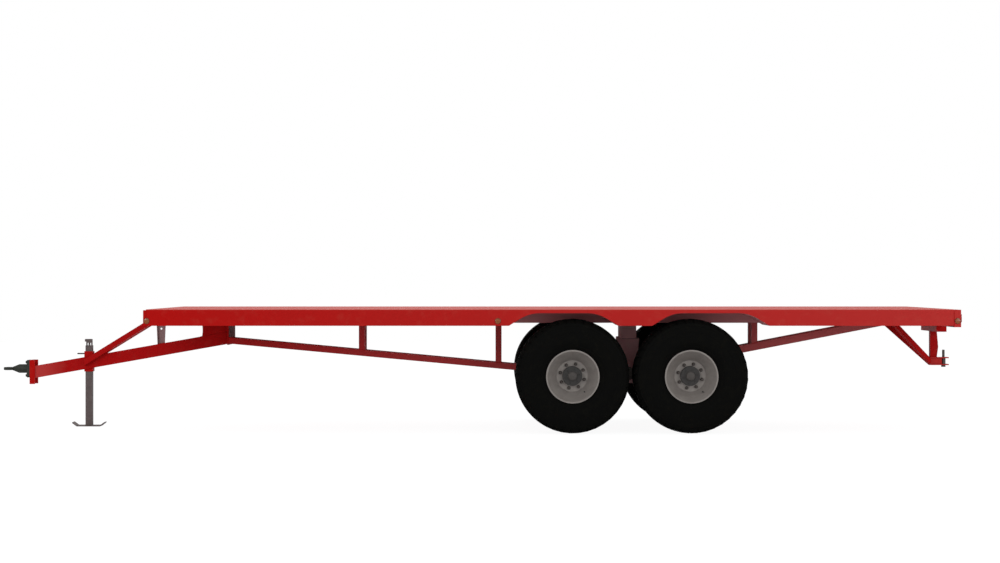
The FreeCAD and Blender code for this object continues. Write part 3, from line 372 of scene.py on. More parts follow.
# %% [markdown]
# ## Rubber
# Tyre rubber is moulded and filled with carbon black, so it is almost black with a faint warm
# tone and no sharp shine. Dust settles in the grooves and low on the sidewall. The fine rings of
# the mould are 6 mm apart, and they follow the radius from the axle, which each wheel's own
# material finds by moving its pattern to the wheel's middle.

# %% Tyre rubber
axle_x = {"front": 1.084, "rear": 2.394}
wheel_y = 0.97
axle_z = 0.634
ring_spacing = 6 * mm


def moulded_rubber(name, x):
    """Black rubber with dust and fine mould rings about an axle at a place along the trailer."""
    material, tree = new_material(name)
    where = add_node(tree, "TexCoord")["Object"]
    moved = add_node(tree, "Mapping", {"Location": (-x, 0, -axle_z)}, {"Vector": where})
    parts = add_node(tree, "SeparateXYZ", None, {0: moved[0]})
    flat = add_node(tree, "CombineXYZ", None, {0: parts[0], 1: parts[2]})
    radius = add_node(tree, "VectorMath", {"operation": "LENGTH"}, {0: flat[0]})
    phase = add_node(tree, "Math", {"operation": "MULTIPLY", 1: 2 * math.pi / ring_spacing},
                     {0: radius["Value"]})
    rings = add_node(tree, "Math", {"operation": "SINE"}, {0: phase[0]})
    dust = add_node(tree, "TexNoise", {"Scale": 14.0, "Detail": 7.0, "Roughness": 0.65},
                    {"Vector": where})
    share = add_node(tree, "MapRange", {"From Min": 0.5, "From Max": 0.85, "To Max": 0.5},
                     {"Value": dust["Fac"]})
    tone = add_node(tree, "Mix", {"data_type": "RGBA", 6: tint("080807"), 7: tint("16150f")},
                    {0: share["Result"]})
    dull = add_node(tree, "MapRange", {"To Min": 0.72, "To Max": 0.9}, {"Value": dust["Fac"]})
    end_material(tree, {"IOR": 1.45, "Specular IOR Level": 0.05}, colour=tone[2],
                 height=rings[0], strength=0.25, distance=0.4 * mm, dull=dull)
    return material


rubber = {end: moulded_rubber("moulded_carbon_black_rubber_" + end, axle_x[end]) for end in ends}
print("rubber for", len(rubber), "axles")

# %% [markdown]
# ## Lamp lenses
# Side markers and rear lamps have moulded acrylic lenses. The colour is in the plastic, so light
# goes a little way in: some transmission and a smooth surface, over fine ribs 7.5 mm apart. The
# housings behind them are black polypropylene.

# %% Lenses
rib_scale = 1 / (24 * mm)


def acrylic_lens(name, base, deep):
    """Ribbed clear plastic with its colour in it."""
    material, tree = new_material(name)
    where = add_node(tree, "TexCoord")["Object"]
    ribs = add_node(tree, "TexWave", {"Scale": rib_scale}, {"Vector": where})
    tone = add_node(tree, "Mix", {"data_type": "RGBA", 6: tint(base), 7: tint(deep)}, {0: ribs["Fac"]})
    end_material(tree, {"IOR": 1.49, "Roughness": 0.12, "Transmission Weight": 0.25}, colour=tone[2],
                 height=ribs["Fac"], strength=0.4, distance=0.5 * mm)
    return material


amber = acrylic_lens("amber_moulded_acrylic", "a8540a", "7c3a08")
red_lens = acrylic_lens("red_moulded_acrylic", "b01212", "7c0a0a")
black_plastic = plain_metal("black_moulded_polypropylene", "1a1a19", "242322",
                            roughness=0.55, grain=9, metallic=0.0)
print("lenses:", amber.name, red_lens.name)

# %% [markdown]
# Each piece of the exact model gets one of these finishes. All is the frame's red, apart from what
# a table lists by the first letters of the names, and where two rows fit a name, the later one
# counts. The sheets over the wheels and the bogie have a paler, browner red with dust from the
# wheels on it: its paleness is painted light, for the light that hardly reaches under the deck.

# %% Finishes of the exact pieces
finishes = (
    (("side_rail", "arch_strip", "front_end_bar", "rear_end_bar", "stand_collar",
      "coupling_channel", "hitch_jaw"), deck_red),
    (("top_chord", "lower_chord", "truss_posts", "spine_ties"), spine_red),
    (("wheel_arches", "arch_side"), arch_red_lightened),
    (("pivot_", "bogie", "rocker"), bogie_red),
    (("stand_leg", "stand_foot", "stand_handle"), stand_zinc_painted_shade),
    (("deck_uprights",), upright_zinc_painted_light),
    (("towing_eye", "eye_flange"), forging),
    (("stand_pin", "pivot_shaft", "stub_axles", "hitch_pin"), turned_steel),
    (("rim_",), rim_paint),
    (("hub_",), hub_paint),
    (("tyre_front",), rubber["front"]),
    (("tyre_rear",), rubber["rear"]),
    (("deck_floor",), floor_plate_painted_sheen),
    (("side_markers",), amber),
    (("rear_lamps",), red_lens),
)
for name, piece in nodes.items():
    chosen = frame_red
    for starts, material in finishes:
        if name.startswith(starts):
            chosen = material
    if not piece.data.materials:
        piece.data.materials.append(chosen)
    for place in piece.material_slots:
        place.material = chosen
print("finished", len(nodes), "pieces")

# %% [markdown]
# ## Repeating pieces
# Tread lugs, wheel nuts, bolts and weld ripples repeat, so they are made with Geometry Nodes: a
# small seed shape goes in, and a tree copies it. Each tree ends in Realize Instances, so the copies
# become an ordinary mesh.

# %% Start and end of a tree
def new_tree(name, **inputs):
    """A node tree for geometry with the given inputs and a material, and its inputs' sockets."""
    tree = bpy.data.node_groups.new(name, "GeometryNodeTree")
    tree.interface.new_socket("Geometry", in_out="INPUT", socket_type="NodeSocketGeometry")
    for label, kind in (*inputs.items(), ("Material", "Material")):
        tree.interface.new_socket(label, in_out="INPUT", socket_type="NodeSocket" + kind)
    tree.interface.new_socket("Geometry", in_out="OUTPUT", socket_type="NodeSocketGeometry")
    return tree, add_node(tree, "NodeGroupInput")


def end_tree(tree, given, geometry):
    """Makes the copies real, gives them their material and sends them out."""
    real = add_node(tree, "GeometryNodeRealizeInstances", None, {0: geometry})
    painted = add_node(tree, "GeometryNodeSetMaterial", None,
                       {"Geometry": real[0], "Material": given["Material"]})
    add_node(tree, "NodeGroupOutput", None, {0: painted[0]})
    print(tree.name, "has", len(tree.nodes), "nodes")


# %% [markdown]
# The ring tree turns copies of its seed about an axle. It puts all of its points on the wheel's
# middle and gives each the next share of a full turn.

# %% The ring tree
ring_tree, given = new_tree("ring_about_an_axle", Count="Int", Centre="Vector", Start="Float")
number = add_node(ring_tree, "GeometryNodeInputIndex")
step = add_node(ring_tree, "Math", {"operation": "DIVIDE", 0: 2 * math.pi}, {1: given["Count"]})
angle = add_node(ring_tree, "Math", {"operation": "MULTIPLY_ADD"},
                 {0: number[0], 1: step[0], 2: given["Start"]})
turn = add_node(ring_tree, "CombineXYZ", None, {1: angle[0]})
turn = add_node(ring_tree, "FunctionNodeEulerToRotation", None, {0: turn[0]})
points = add_node(ring_tree, "GeometryNodePoints", None,
                  {"Count": given["Count"], "Position": given["Centre"]})
copies = add_node(ring_tree, "GeometryNodeInstanceOnPoints", None,
                  {"Points": points[0], "Instance": given["Geometry"], "Rotation": turn[0]})
end_tree(ring_tree, given, copies[0])

# %% [markdown]
# The stud tree puts a copy of one fastener on every point of a mesh, all turned the same way. It
# suits bolts, whose places follow no circle.

# %% The stud tree
stud_tree, given = new_tree("studs_on_points", Fastener="Object", Turn="Vector")
fastener = add_node(stud_tree, "GeometryNodeObjectInfo", None, {"Object": given["Fastener"]})
turn = add_node(stud_tree, "FunctionNodeEulerToRotation", None, {0: given["Turn"]})
copies = add_node(stud_tree, "GeometryNodeInstanceOnPoints", None,
                  {"Points": given["Geometry"], "Instance": fastener["Geometry"], "Rotation": turn[0]})
end_tree(stud_tree, given, copies[0])

# %% [markdown]
# The bead tree sweeps a six-sided tube along a path. It cuts the path into short steps and lets the
# tube swell and shrink from step to step, as the ripples of a weld do.

# %% The bead tree
ripple_phase = 2.1
ripple_share = 0.16
bead_tree, given = new_tree("weld_bead_on_a_path", Radius="Float", Ripple="Float")
line = add_node(bead_tree, "GeometryNodeMeshToCurve", None, {"Mesh": given["Geometry"]})
fine = add_node(bead_tree, "GeometryNodeResampleCurve", {"mode": "LENGTH"},
                {"Curve": line[0], "Length": given["Ripple"]})
number = add_node(bead_tree, "GeometryNodeInputIndex")
phase = add_node(bead_tree, "Math", {"operation": "MULTIPLY", 1: ripple_phase}, {0: number[0]})
wave = add_node(bead_tree, "Math", {"operation": "SINE"}, {0: phase[0]})
swell = add_node(bead_tree, "Math", {"operation": "MULTIPLY_ADD", 1: ripple_share, 2: 1.0}, {0: wave[0]})
round_section = add_node(bead_tree, "GeometryNodeCurvePrimitiveCircle", {"Resolution": 6},
                         {"Radius": given["Radius"]})
tube = add_node(bead_tree, "GeometryNodeCurveToMesh", {"Fill Caps": True},
                {"Curve": fine[0], "Profile Curve": round_section[0], "Scale": swell[0]})
end_tree(bead_tree, given, tube[0])

# %% [markdown]
# A piece is grown in three moves: its seed stands in the scene for a moment with a tree on it, the
# result is kept as a plain mesh, and the seed is taken out again.

# %% Grow a piece from a seed
def mesh_of(name, points, faces, edges=()):
    """A mesh from its points and its faces or edges."""
    mesh = bpy.data.meshes.new(name)
    mesh.from_pydata(points, edges, faces)
    mesh.update()
    return mesh


def piece_of(name, mesh, material=None, body=None):
    """Puts a mesh in the scene as a piece that rides on a body."""
    piece = placed(name, mesh)
    if material:
        mesh.materials.clear()
        mesh.materials.append(material)
    if body:
        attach(piece, body)
    return piece


def grown(name, seed, tree, values):
    """Runs a tree on a seed mesh and returns the result as a plain mesh."""
    holder = piece_of(name, seed)
    modifier = holder.modifiers.new("grow", "NODES")
    modifier.node_group = tree
    for item in tree.interface.items_tree:
        if item.in_out == "INPUT" and item.name in values:
            modifier[item.identifier] = values[item.name]
    seen = holder.evaluated_get(bpy.context.evaluated_depsgraph_get())
    mesh = bpy.data.meshes.new_from_object(seen)
    bpy.data.objects.remove(holder)
    mesh.name = name
    return mesh


def shade_smooth(mesh, angle):
    """Smooth shading, with edges sharper than an angle kept crisp."""
    mesh.shade_smooth()
    mesh.set_sharp_from_angle(angle=math.radians(angle))
    return mesh


print("trees:", [tree.name for tree in bpy.data.node_groups])

# %% [markdown]
# ## Tyres
# Each tyre is a 560 mm wide flotation tyre. Its exact form is smooth, with its full outside size.
# Here a casing with the same sidewalls is spun about the axle, and its crown is lower by the depth
# of the tread, so the lugs that stand on it end where the exact form does.

# %% Form of the tyre
tyre_radius = 0.634
rim_radius = 0.28575
half_tyre = 0.280
groove = 12 * mm
crown_half = 0.236
crown_drop = 9 * mm
shoulder_y, shoulder_radius = 0.266, 0.5852
bulge_radius = 0.42505
bead_y, bead_radius = 0.2282, 0.30375


def crown_radius(y):
    """Radius of the tread's face at a place across, over the crown and down the shoulder."""
    if abs(y) <= crown_half:
        return tyre_radius - crown_drop * (y / crown_half) ** 2
    share = (abs(y) - crown_half) / (shoulder_y - crown_half)
    top = tyre_radius - crown_drop
    return top + (shoulder_radius - top) * share


def wall_point(radius):
    """Place across of the sidewall at a radius, round above and below the widest point."""
    if radius > bulge_radius:
        depth, height = half_tyre - shoulder_y, shoulder_radius - bulge_radius
    else:
        depth, height = half_tyre - bead_y, bulge_radius - bead_radius
    bend = (depth ** 2 + height ** 2) / (2 * depth)
    return half_tyre - bend + math.sqrt(bend ** 2 - (radius - bulge_radius) ** 2)


print("tyre", round(2 * tyre_radius / mm), "mm high and", round(2 * half_tyre / mm), "mm wide")

# %% [markdown]
# The casing's sidewall lies 2.4 mm inside the exact one, so that the rings which the mould leaves on
# it can stand out without passing the exact size. A second, smaller outline inside closes the ring.

# %% Casing of the tyre
wall_inset = 2.4 * mm
wall_steps, crown_steps = 26, 8
casing_segments = 120
crisp_edge = 32
lining_share, lining_depth = 0.9, 20 * mm
bead_bevel = 1 * mm
shoulder_in, shoulder_up, crown_in = 9 * mm, 2 * mm, 2 * mm

# Mould rings: radius in metres and height in millimetres
ridges = {0.326: 2.2, 0.331: 2.2, 0.357: 1.2, 0.486: 1.0, 0.490: 1.0, 0.557: 1.4, 0.561: 1.4}
ridge_foot = 3 * mm
rim_line = 0.34


def casing_outline():
    """Outside of the casing from the left bead to the right, as (across, radius)."""
    half = [(bead_y - bead_bevel, rim_radius + bead_bevel), (bead_y, bead_radius)]
    wall = [bead_radius + (shoulder_radius - bead_radius) * n / wall_steps
            for n in range(1, wall_steps)]
    feet = [radius - ridge_foot for radius in ridges if radius > rim_line]
    for radius in sorted(wall + list(ridges) + feet):
        half.append((wall_point(radius) - wall_inset + ridges.get(radius, 0) * mm, radius))
    half.append((shoulder_y - shoulder_in, shoulder_radius + shoulder_up))
    for step in range(crown_steps + 1):
        y = (crown_half - crown_in) * (1 - step / crown_steps)
        half.append((y, crown_radius(y) - groove))
    return [(-y, r) for y, r in half] + [(y, r) for y, r in reversed(half[:-1])]


def spun(name, outline, segments):
    """A closed ring from an outline of (across, radius), spun about the axle."""
    inner = [(y * lining_share, r - lining_depth) for y, r in outline]
    ring = outline + inner[::-1]
    points = []
    for number in range(segments):
        angle = 2 * math.pi * number / segments
        points += [(r * math.sin(angle), y, r * math.cos(angle)) for y, r in ring]
    size, faces = len(ring), []
    for number in range(segments):
        here, after = number * size, (number + 1) % segments * size
        for k in range(size):
            m = (k + 1) % size
            faces.append((here + k, here + m, after + m, after + k))
    return shade_smooth(mesh_of(name, points, faces), crisp_edge)


casing = spun("tyre_casing", casing_outline(), casing_segments)
print("casing:", len(casing.polygons), "faces")

# %% [markdown]
# One pitch of the tread is a seed: two zigzag centre ribs that join up all round, a slanted block
# beside each, and a shoulder block that bends down the sidewall. The right half is set back by half
# a pitch, which keeps such a tyre quiet. The ring tree repeats the pitch 40 times.

# %% One pitch of the tread
pitches = 40
pitch_length = 2 * math.pi * tyre_radius / pitches
lug_root = 4 * mm

# Outlines as (millimetres across, share of the pitch along), and how much the flanks draw in
rib = [(10, 0), (18, 0.5), (10, 1), (64, 1), (72, 0.5), (64, 0)]
block = [(84, 0.04), (150, 0.16), (158, 0.30), (158, 0.98), (92, 0.86), (84, 0.72)]
shoulder = [(170, 0.20), (236, 0.30), (264, 0.34), (264, 1.25), (236, 1.22), (170, 1.12)]
lugs = ((rib, 0.0), (block, 0.05), (shoulder, 0.03))


def lug(outline, draft):
    """A tread block from its outline of (across, along), with tapered flanks."""
    middle = [sum(point[k] for point in outline) / len(outline) for k in (0, 1)]
    points = []
    for raised in (0, 1):
        for y, along in outline:
            if raised:
                y += (middle[0] - y) * draft
                along += (middle[1] - along) * draft
            radius = crown_radius(y) - (0 if raised else groove + lug_root)
            angle = along / tyre_radius
            points.append((radius * math.sin(angle), y, radius * math.cos(angle)))
    size = len(outline)
    faces = [tuple(range(size))[::-1], tuple(range(size, 2 * size))]
    faces += [(k, (k + 1) % size, size + (k + 1) % size, size + k) for k in range(size)]
    return points, faces


def tread_pitch():
    """Ribs and blocks of one pitch on both halves of the tread."""
    points, faces = [], []
    for hand in (1, -1):
        shift = 0.0 if hand > 0 else pitch_length / 2
        for outline, draft in lugs:
            moved = [(hand * y * mm, share * pitch_length + shift) for y, share in outline]
            if hand < 0:
                moved.reverse()
            found, sides_of_lug = lug(moved, draft)
            faces += [tuple(k + len(points) for k in face) for face in sides_of_lug]
            points += found
    return mesh_of("tread_pitch", points, faces)


pitch = tread_pitch()
print("one pitch:", round(pitch_length / mm), "mm long,", len(pitch.polygons), "faces")

# %% [markdown]
# Casing and tread are joined into one mesh, moved to the wheel and faced outwards. The left wheels
# get the mirrored tyre, so the two sides of the trailer match. The treaded tyre then takes the place
# of the exact model's smooth one.

# %% Join casing and tread on every wheel
def joined(name, meshes, place=(0, 0, 0), mirrored=False):
    """One mesh out of several, moved to a place, with its faces turned outwards."""
    work = bmesh.new()
    for mesh in meshes:
        work.from_mesh(mesh)
    for point in work.verts:
        point.co.y *= -1 if mirrored else 1
        point.co += Vector(place)
    bmesh.ops.recalc_face_normals(work, faces=work.faces)
    mesh = bpy.data.meshes.new(name)
    work.to_mesh(mesh)
    work.free()
    return mesh


wheels = [(end, side) for end in ends for side in sides]
for end, side in wheels:
    middle = (axle_x[end], sides[side] * wheel_y, axle_z)
    tread = grown("tread", pitch.copy(), ring_tree,
                  {"Count": pitches, "Centre": (0, 0, 0), "Start": 0.0, "Material": rubber[end]})
    mesh = joined("tyre_rubber", [casing, tread], middle, side == "left")
    shade_smooth(mesh, crisp_edge)
    body = "wheel_" + end + "_" + side
    tyre = piece_of("treaded_tyre_" + end + "_" + side, mesh, rubber[end], body)
    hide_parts("tyre_" + end + "_" + side)
print("tyre:", len(mesh.polygons), "faces")

# %% [markdown]
# ## Fasteners
# Nuts and bolt heads are turned and forged shapes: round rings and hexagon rings stacked on one
# axis. Every ring has 24 points, so any ring joins up with the next one, and a hexagon's corners
# fall on every fourth point.

# %% Stacked shapes
ring_points = 24


def stacked(name, rings):
    """A closed shape from rings of (form, half width, height) along +Z, in millimetres."""
    points, faces = [], []
    for form, size, height in rings:
        for number in range(ring_points):
            angle = 2 * math.pi * number / ring_points
            corner = math.cos((angle + math.pi / 6) % (math.pi / 3) - math.pi / 6)
            radius = size * mm / corner if form == "hex" else size * mm
            points.append((radius * math.cos(angle), radius * math.sin(angle), height * mm))
    for level in range(len(rings) - 1):
        here, above = level * ring_points, (level + 1) * ring_points
        for number in range(ring_points):
            after = (number + 1) % ring_points
            faces.append((here + number, here + after, above + after, above + number))
    faces.append(tuple(range(ring_points))[::-1])
    faces.append(tuple(range(len(points) - ring_points, len(points))))
    return shade_smooth(mesh_of(name, points, faces), angle=35)


wheel_nut = stacked("wheel_nut", [("round", 19, 0), ("round", 19, 2), ("round", 16, 5),
                                  ("hex", 15, 5), ("hex", 15, 22), ("round", 13.5, 25),
                                  ("round", 10, 25), ("round", 10, 34), ("round", 8.5, 36)])
bolt_head = stacked("bolt_head", [("round", 18, 0), ("round", 18, 3), ("hex", 15, 3),
                                  ("hex", 15, 13), ("round", 12.5, 16)])
print("wheel nut:", len(wheel_nut.polygons), "faces, bolt head:", len(bolt_head.polygons))

# %% [markdown]
# Eight nuts on a 275 mm circle hold each wheel. In the photograph the first nut is turned 16
# degrees from the top, and both wheels stand the same way. The nuts sit on the disc, 60 mm outside
# the middle of the wheel, deep inside the rim.

# %% Wheel nuts
nut_circle = 137.5 * mm
nut_turn = math.radians(16)
disc_face = 60 * mm


def on_every_wheel(*rings):
    """Rings of copies on each wheel. Every ring has a name, a shape, how far it lies out from the
    wheel's middle and up from the axle, a count, the first turn, a material and a slot."""
    for end, side in wheels:
        hand = sides[side]
        place = end + "_" + side
        for name, shape, out, up, count, start, material, slot in rings:
            seed = shape.copy()
            seed.transform(Matrix.Translation((0, hand * out, up))
                           @ Matrix.Rotation(-hand * math.pi / 2, 4, "X"))
            mesh = grown(name, seed, ring_tree,
                         {"Count": count, "Centre": (axle_x[end], hand * wheel_y, axle_z),
                          "Start": start, "Material": material})
            piece_of(name + "_" + place, mesh, None, "wheel_" + place)
    print([ring[0] for ring in rings], "on", len(wheels), "wheels")


on_every_wheel(("wheel_nuts", wheel_nut, disc_face, nut_circle, 8, nut_turn, nut_paint, "hub_iron"))

# %% [markdown]
# A ring of six small bolts holds each hub's cover, a pressed cap keeps its grease in, and a tyre
# valve stands in the cone of the disc. They are stacked shapes too.

# %% Cap bolts, grease caps and valves
cap_bolt = stacked("cap_bolt", [("round", 8, 0), ("round", 8, 1.5), ("hex", 6.5, 1.5),
                                ("hex", 6.5, 6), ("round", 5, 7.5)])
valve = stacked("valve", [("round", 9, 0), ("round", 8, 5), ("round", 4, 8), ("round", 4, 30),
                          ("round", 5.5, 30), ("round", 5.5, 42), ("round", 4, 44)])
grease_cap = stacked("grease_cap", [("round", 52, -1), ("round", 52, 3), ("round", 48, 4),
                                    ("round", 48, 24), ("round", 45, 29), ("round", 33, 33),
                                    ("round", 12, 34.5)])
cap_steel = plain_metal("pressed_steel_grease_cap_grey", "383431", "46413d",
                        roughness=0.5, grain=12, metallic=0.2)
cap_circle = 78 * mm
cap_face = 99 * mm
cap_turn = 0.3
valve_place = 218 * mm
valve_out = 130 * mm
valve_turn = 2.485
on_every_wheel(
    ("hub_cap_bolts", cap_bolt, cap_face, cap_circle, 6, cap_turn, hub_paint, "hub_iron"),
    ("grease_cap", grease_cap, cap_face, 0, 1, 0.0, cap_steel, "hub_iron"),
    ("valve", valve, valve_out, valve_place, 1, valve_turn, black_plastic, "tyre_rubber"))

# %% [markdown]
# The towing eye's flange is bolted through the coupling channel with four M20 bolts: heads in
# front, nuts behind. The stud tree needs only their places, as points of a mesh.

# %% Coupling bolts
eye_height = 0.670
bolt_rise = 77.5 * mm
bolt_side = 50 * mm
flange_face = -5.217
web_back = -5.167


def studs(name, fastener_mesh, places, turn, material, body):
    """Copies of a fastener on given places, all turned the same way."""
    source = piece_of("fastener", fastener_mesh)
    mesh = grown(name, mesh_of("places", places, []), stud_tree,
                 {"Fastener": source, "Turn": turn, "Material": material})
    bpy.data.objects.remove(source)
    return piece_of(name, mesh, None, body)


spread = [(hand * bolt_side, eye_height + lift * bolt_rise) for hand in (1, -1) for lift in (1, -1)]
studs("eye_flange_bolts", bolt_head, [(flange_face, y, z) for y, z in spread],
      (0, -math.pi / 2, 0), forging, "chassis")
studs("eye_flange_nuts", bolt_head, [(web_back, y, z) for y, z in spread],
      (0, math.pi / 2, 0), zinc_bolts, "chassis")
print(len(spread), "coupling bolts with their nuts")

# %% [markdown]
# ## Weld seams
# The whole frame is welded. A seam is a fillet with fine ripples, about 8 mm wide, under the same
# paint. Its path is a closed loop round the foot of a tube, or an open line along an edge. The
# sloping beams are given by their undersides, so that a seam can follow them.

# %% Places of the beams
saddle_x, plate_x = -2.862, -2.874
spine_under = 1.207
chord_y = 0.130
half_tube = 35 * mm
half_drawbar = 70 * mm
carrier_x, carrier_foot = 1.579, 0.555

# Undersides as (height, place, rise), and the beams' upright heights
front_chord, chord_height = (0.966, saddle_x, -0.09255), 70 * mm
rear_chord, rear_height = (0.630, 1.899, 0.19336), 86 * mm
drawbar, drawbar_height = (0.563, -5.120, 0.17631), 142 * mm
strut, strut_height = (0.7085, -4.540, 0.6174), 70.5 * mm


def height_on(line, x):
    """Height of a sloping underside, given as (height, place, rise)."""
    return line[0] + (x - line[1]) * line[2]


def flat_loop(x0, x1, y0, y1, line, lift=0.0):
    """Corners of a loop round a tube that stands on a sloping or level face."""
    return [(x, y, height_on(line, x) + lift) for x, y in
            ((x0, y0), (x1, y0), (x1, y1), (x0, y1), (x0, y0))]


def face_loop(x, y0, y1, low, height):
    """Corners of a loop round a tube that ends on an upright face."""
    high = low + height
    return [(x, y0, low), (x, y1, low), (x, y1, high), (x, y0, high), (x, y0, low)]


print("drawbar rises", round(math.degrees(math.atan(drawbar[2])), 1), "degrees")

# %% [markdown]
# The truss posts stand on the lower chords and carry the top ones, with a seam at both ends. The
# front chords run from the saddle plate to the bogie's pivot carrier, and the rear ones start there.

# %% Seams of the spine and the bogie
posts = ((-1.317, front_chord, chord_height), (0.264, front_chord, chord_height),
         (3.224, rear_chord, rear_height))
beam_x, half_beam, beam_under = 1.761, 84 * mm, 1.034
pedestal_y = (0.21, 0.33)

post_seams = []
for x, line, height in posts:
    for hand in (1, -1):
        tube = (x - half_tube, x + half_tube,
                hand * (chord_y - half_tube), hand * (chord_y + half_tube))
        post_seams += [flat_loop(*tube, line, height), flat_loop(*tube, (spine_under, 0, 0))]


def spine_seams(hand):
    """Seams at the chords' ends and under the bogie's cross beam, on one side."""
    y0, y1 = hand * (chord_y - half_tube), hand * (chord_y + half_tube)
    found = [face_loop(saddle_x, y0, y1, front_chord[0], chord_height),
             face_loop(carrier_x, y0, y1, carrier_foot, chord_height),
             face_loop(rear_chord[1], y0, y1, rear_chord[0], rear_height)]
    for x in (beam_x - half_beam, beam_x + half_beam):
        found.append([(x, hand * y, beam_under) for y in pedestal_y])
    return found


print(len(post_seams), "seams at the posts")

# %% [markdown]
# The drawbar is welded to the coupling channel, and the front struts run from its sides up to the
# deck's front bar. The side rails end on the end bars. Thin gussets stand against the drawbar's end
# plate and against the deck's rear end.

# %% Seams of the drawbar and the deck
strut_corners = ((-4.476, strut_height), (-4.540, strut_height), (-4.540, 0), (-4.316, 0))
strut_end_x, strut_end_z, strut_outer = -3.646, 1.2595, 0.13
gusset_run = (-3.20, -2.876)
rail_ends, rail_z = (-3.614, 5.277), (1.198, 1.364)
deck_end_x = 5.354
hitch_gusset_y, hitch_gusset_z = 6 * mm, (0.81, 1.10)
plate_gusset_y, plate_gusset_z = 58 * mm, (1.11, 1.19)


def frame_seams(hand):
    """Seams of the drawbar, the strut, the side rail and the gussets, on one side."""
    y = hand * half_drawbar
    found = [[(drawbar[1], y, drawbar[0]), (drawbar[1], y, drawbar[0] + drawbar_height)],
             [(x, y, height_on(strut, x) + lift) for x, lift in strut_corners],
             face_loop(strut_end_x, y, hand * strut_outer, strut_end_z, strut_height),
             [(x, y, height_on(drawbar, x) + drawbar_height) for x in gusset_run]]
    found += [[(x, hand * near_side, z) for z in rail_z] for x in rail_ends]
    found.append([(deck_end_x, hand * hitch_gusset_y, z) for z in hitch_gusset_z])
    found.append([(plate_x, hand * plate_gusset_y, z) for z in plate_gusset_z])
    return found


print(2 * len(frame_seams(1)), "seams of the drawbar and the deck")

# %% [markdown]
# On the middle line are the drawbar's end plate, the stand's collar above and below, the foot of
# the front upright, which is a tee, and the hitch post with a loop at its top and one at its foot.

# %% Seams on the middle line
plate_foot = 0.959
stand_x, half_collar = -4.504, 49 * mm
tee_web, half_web = (-3.697, -3.626), 6 * mm
tee_face_x, half_tee = -3.705, 35 * mm
post_x, half_post = (5.287, 5.354), 33.5 * mm
post_ends = (1.108, 0.804)

seams = list(post_seams)
for hand in (1, -1):
    seams += spine_seams(hand) + frame_seams(hand)
seams.append(face_loop(plate_x, -half_drawbar, half_drawbar, plate_foot, drawbar_height))
for lift in (drawbar_height, 0.0):
    seams.append(flat_loop(stand_x - half_collar, stand_x + half_collar, -half_collar,
                           half_collar, drawbar, lift))
seams.append(flat_loop(*tee_web, -half_web, half_web, drawbar, drawbar_height))
seams.append([(tee_face_x, y, height_on(drawbar, tee_face_x) + drawbar_height)
              for y in (-half_tee, half_tee)])
for height in post_ends:
    seams.append(flat_loop(*post_x, -half_post, half_post, (height, 0, 0)))
print(len(seams), "seams in all")

# %% [markdown]
# The bead tree turns all the paths of one body and one finish into one piece: the frame's seams
# under its paint, a black bead on the joints of the bogie's pedestals, which is painted shadow, the
# dark line of shade under the step there, and the zinc-coated seam round the foot of the stand's leg.

# %% Weld beads
seam_radius, fine_radius = 3.5 * mm, 3 * mm
ripple = 6 * mm
shadow_line_x, shadow_line_y, shadow_line_z = (1.674, 1.877), 0.331, 1.0275
half_leg, foot_top = 38 * mm, 0.012


def beads(name, paths, radius, material, body):
    """One piece of rippled weld bead along every path."""
    points, edges = [], []
    for path in paths:
        first = len(points)
        closed = path[0] == path[-1]
        corners = path[:-1] if closed else path
        points += corners
        edges += [(first + k, first + k + 1) for k in range(len(corners) - 1)]
        if closed:
            edges.append((first + len(corners) - 1, first))
    mesh = grown(name, mesh_of("paths", points, [], edges), bead_tree,
                 {"Radius": radius, "Ripple": ripple, "Material": material})
    shade_smooth(mesh, angle=60)
    print(name, "has", len(mesh.polygons), "faces")
    return piece_of(name, mesh, None, body)


# A black bead as painted shadow: the dark line that the step at the pedestals' joints casts.
shadow_line_black = plain_metal("black_bead_as_painted_shadow_line", "140b0b", "1e1111",
                     roughness=0.6, grain=9, metallic=0.0)
shadow_lines = [[(x, hand * shadow_line_y, shadow_line_z) for x in shadow_line_x] for hand in (1, -1)]
foot = flat_loop(stand_x - half_leg, stand_x + half_leg, -half_leg, half_leg, (foot_top, 0, 0))
beads("frame_weld_seams", seams, seam_radius, frame_red, "chassis")
beads("pedestal_joint_sealer", shadow_lines, fine_radius, shadow_line_black, "chassis")
beads("stand_foot_seam", [foot], fine_radius, stand_zinc_painted_shade, "stand")

# %% [markdown]
# ## Lamps
# Each side marker is a round amber lens on a black rubber base. The lens is domed, with a step
# near its edge where it snaps into the base.

# %% Side markers
marker_x = (-3.6075, 0.257, 5.3155)
marker_z = 1.2485
marker_base = stacked("marker_base", [("round", 32.5, 0), ("round", 32.5, 4), ("round", 31.5, 5),
                                      ("round", 30.5, 5), ("round", 30.5, 4)])
marker_lens = stacked("marker_lens", [("round", 30, 3), ("round", 30, 8), ("round", 28, 9),
                                      ("round", 27, 9), ("round", 23, 10.6), ("round", 15, 11.6),
                                      ("round", 6, 12)])
for side, hand in sides.items():
    places = [(x, hand * near_side, marker_z) for x in marker_x]
    turn = (-hand * math.pi / 2, 0, 0)
    studs("marker_bases_" + side, marker_base, places, turn, black_plastic, "chassis")
    lenses = studs("marker_lenses_" + side, marker_lens, places, turn, amber, "chassis")
    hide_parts("side_markers")
print(2 * len(marker_x), "side markers")

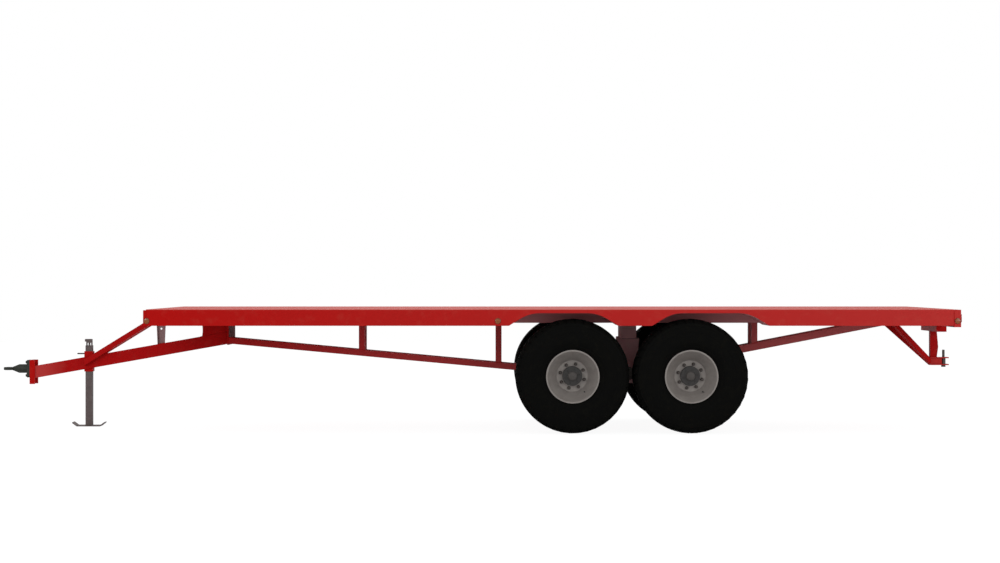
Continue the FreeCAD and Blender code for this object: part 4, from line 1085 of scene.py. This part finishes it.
# %% [markdown]
# The rear lamps have a black housing with three separate lenses: amber for the turn signal between
# two red ones. Housing and lenses are moulded blocks with rounded edges, and a lens's rear face
# stands 1 mm proud in its middle.

# %% Rear lamps
def rounded_block(name, low, high, bevel, crown=0.0):
    """A block with rounded edges, and a rear face that may stand proud in its middle."""
    work = bmesh.new()
    bmesh.ops.create_cube(work, size=1.0)
    for point in work.verts:
        point.co = [a + (b - a) * (c + 0.5) for a, b, c in zip(low, high, point.co)]
    bmesh.ops.bevel(work, geom=work.edges[:], offset=bevel, segments=3, profile=0.5,
                    affect="EDGES")
    for point in work.verts:
        if point.co.x > high[0] - bevel / 4:
            point.co.x += crown
    mesh = bpy.data.meshes.new(name)
    work.to_mesh(mesh)
    work.free()
    return shade_smooth(mesh, angle=50)


lamp_x = 5.354
lamp_low, lamp_high = 1.2275, 1.3265
lamp_inner, lamp_outer = 0.945, 1.175
housing_depth = 20 * mm
lens_foot, lens_face = lamp_x + 14 * mm, lamp_x + 27 * mm
lens_gap, lens_rim = 2 * mm, 5 * mm
cells = (("red", 0.02, 0.34), ("amber", 0.36, 0.64), ("red", 0.66, 0.98))
colours = {"red": (red_lens, "red_lens"), "amber": (amber, "amber_lens")}
width = lamp_outer - lamp_inner
for side, hand in sides.items():
    y0, y1 = sorted((hand * lamp_inner, hand * lamp_outer))
    housing = rounded_block("lamp_housing", (lamp_x, y0, lamp_low),
                            (lamp_x + housing_depth, y1, lamp_high), bevel=6 * mm)
    housing = piece_of("rear_lamp_housing_" + side, housing, black_plastic, "chassis")
    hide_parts("rear_lamps")
    for number, (colour, start, end) in enumerate(cells):
        y0, y1 = sorted(hand * (lamp_inner + width * share) for share in (start, end))
        block = rounded_block("lamp_lens", (lens_foot, y0 + lens_gap, lamp_low + lens_rim),
                              (lens_face, y1 - lens_gap, lamp_high - lens_rim),
                              bevel=4 * mm, crown=1 * mm)
        material, slot = colours[colour]
        piece_of("rear_lamp_" + colour + "_" + side + "_" + str(number), block, material,
                 "chassis")
print("rear lamps with", len(cells), "lenses each")
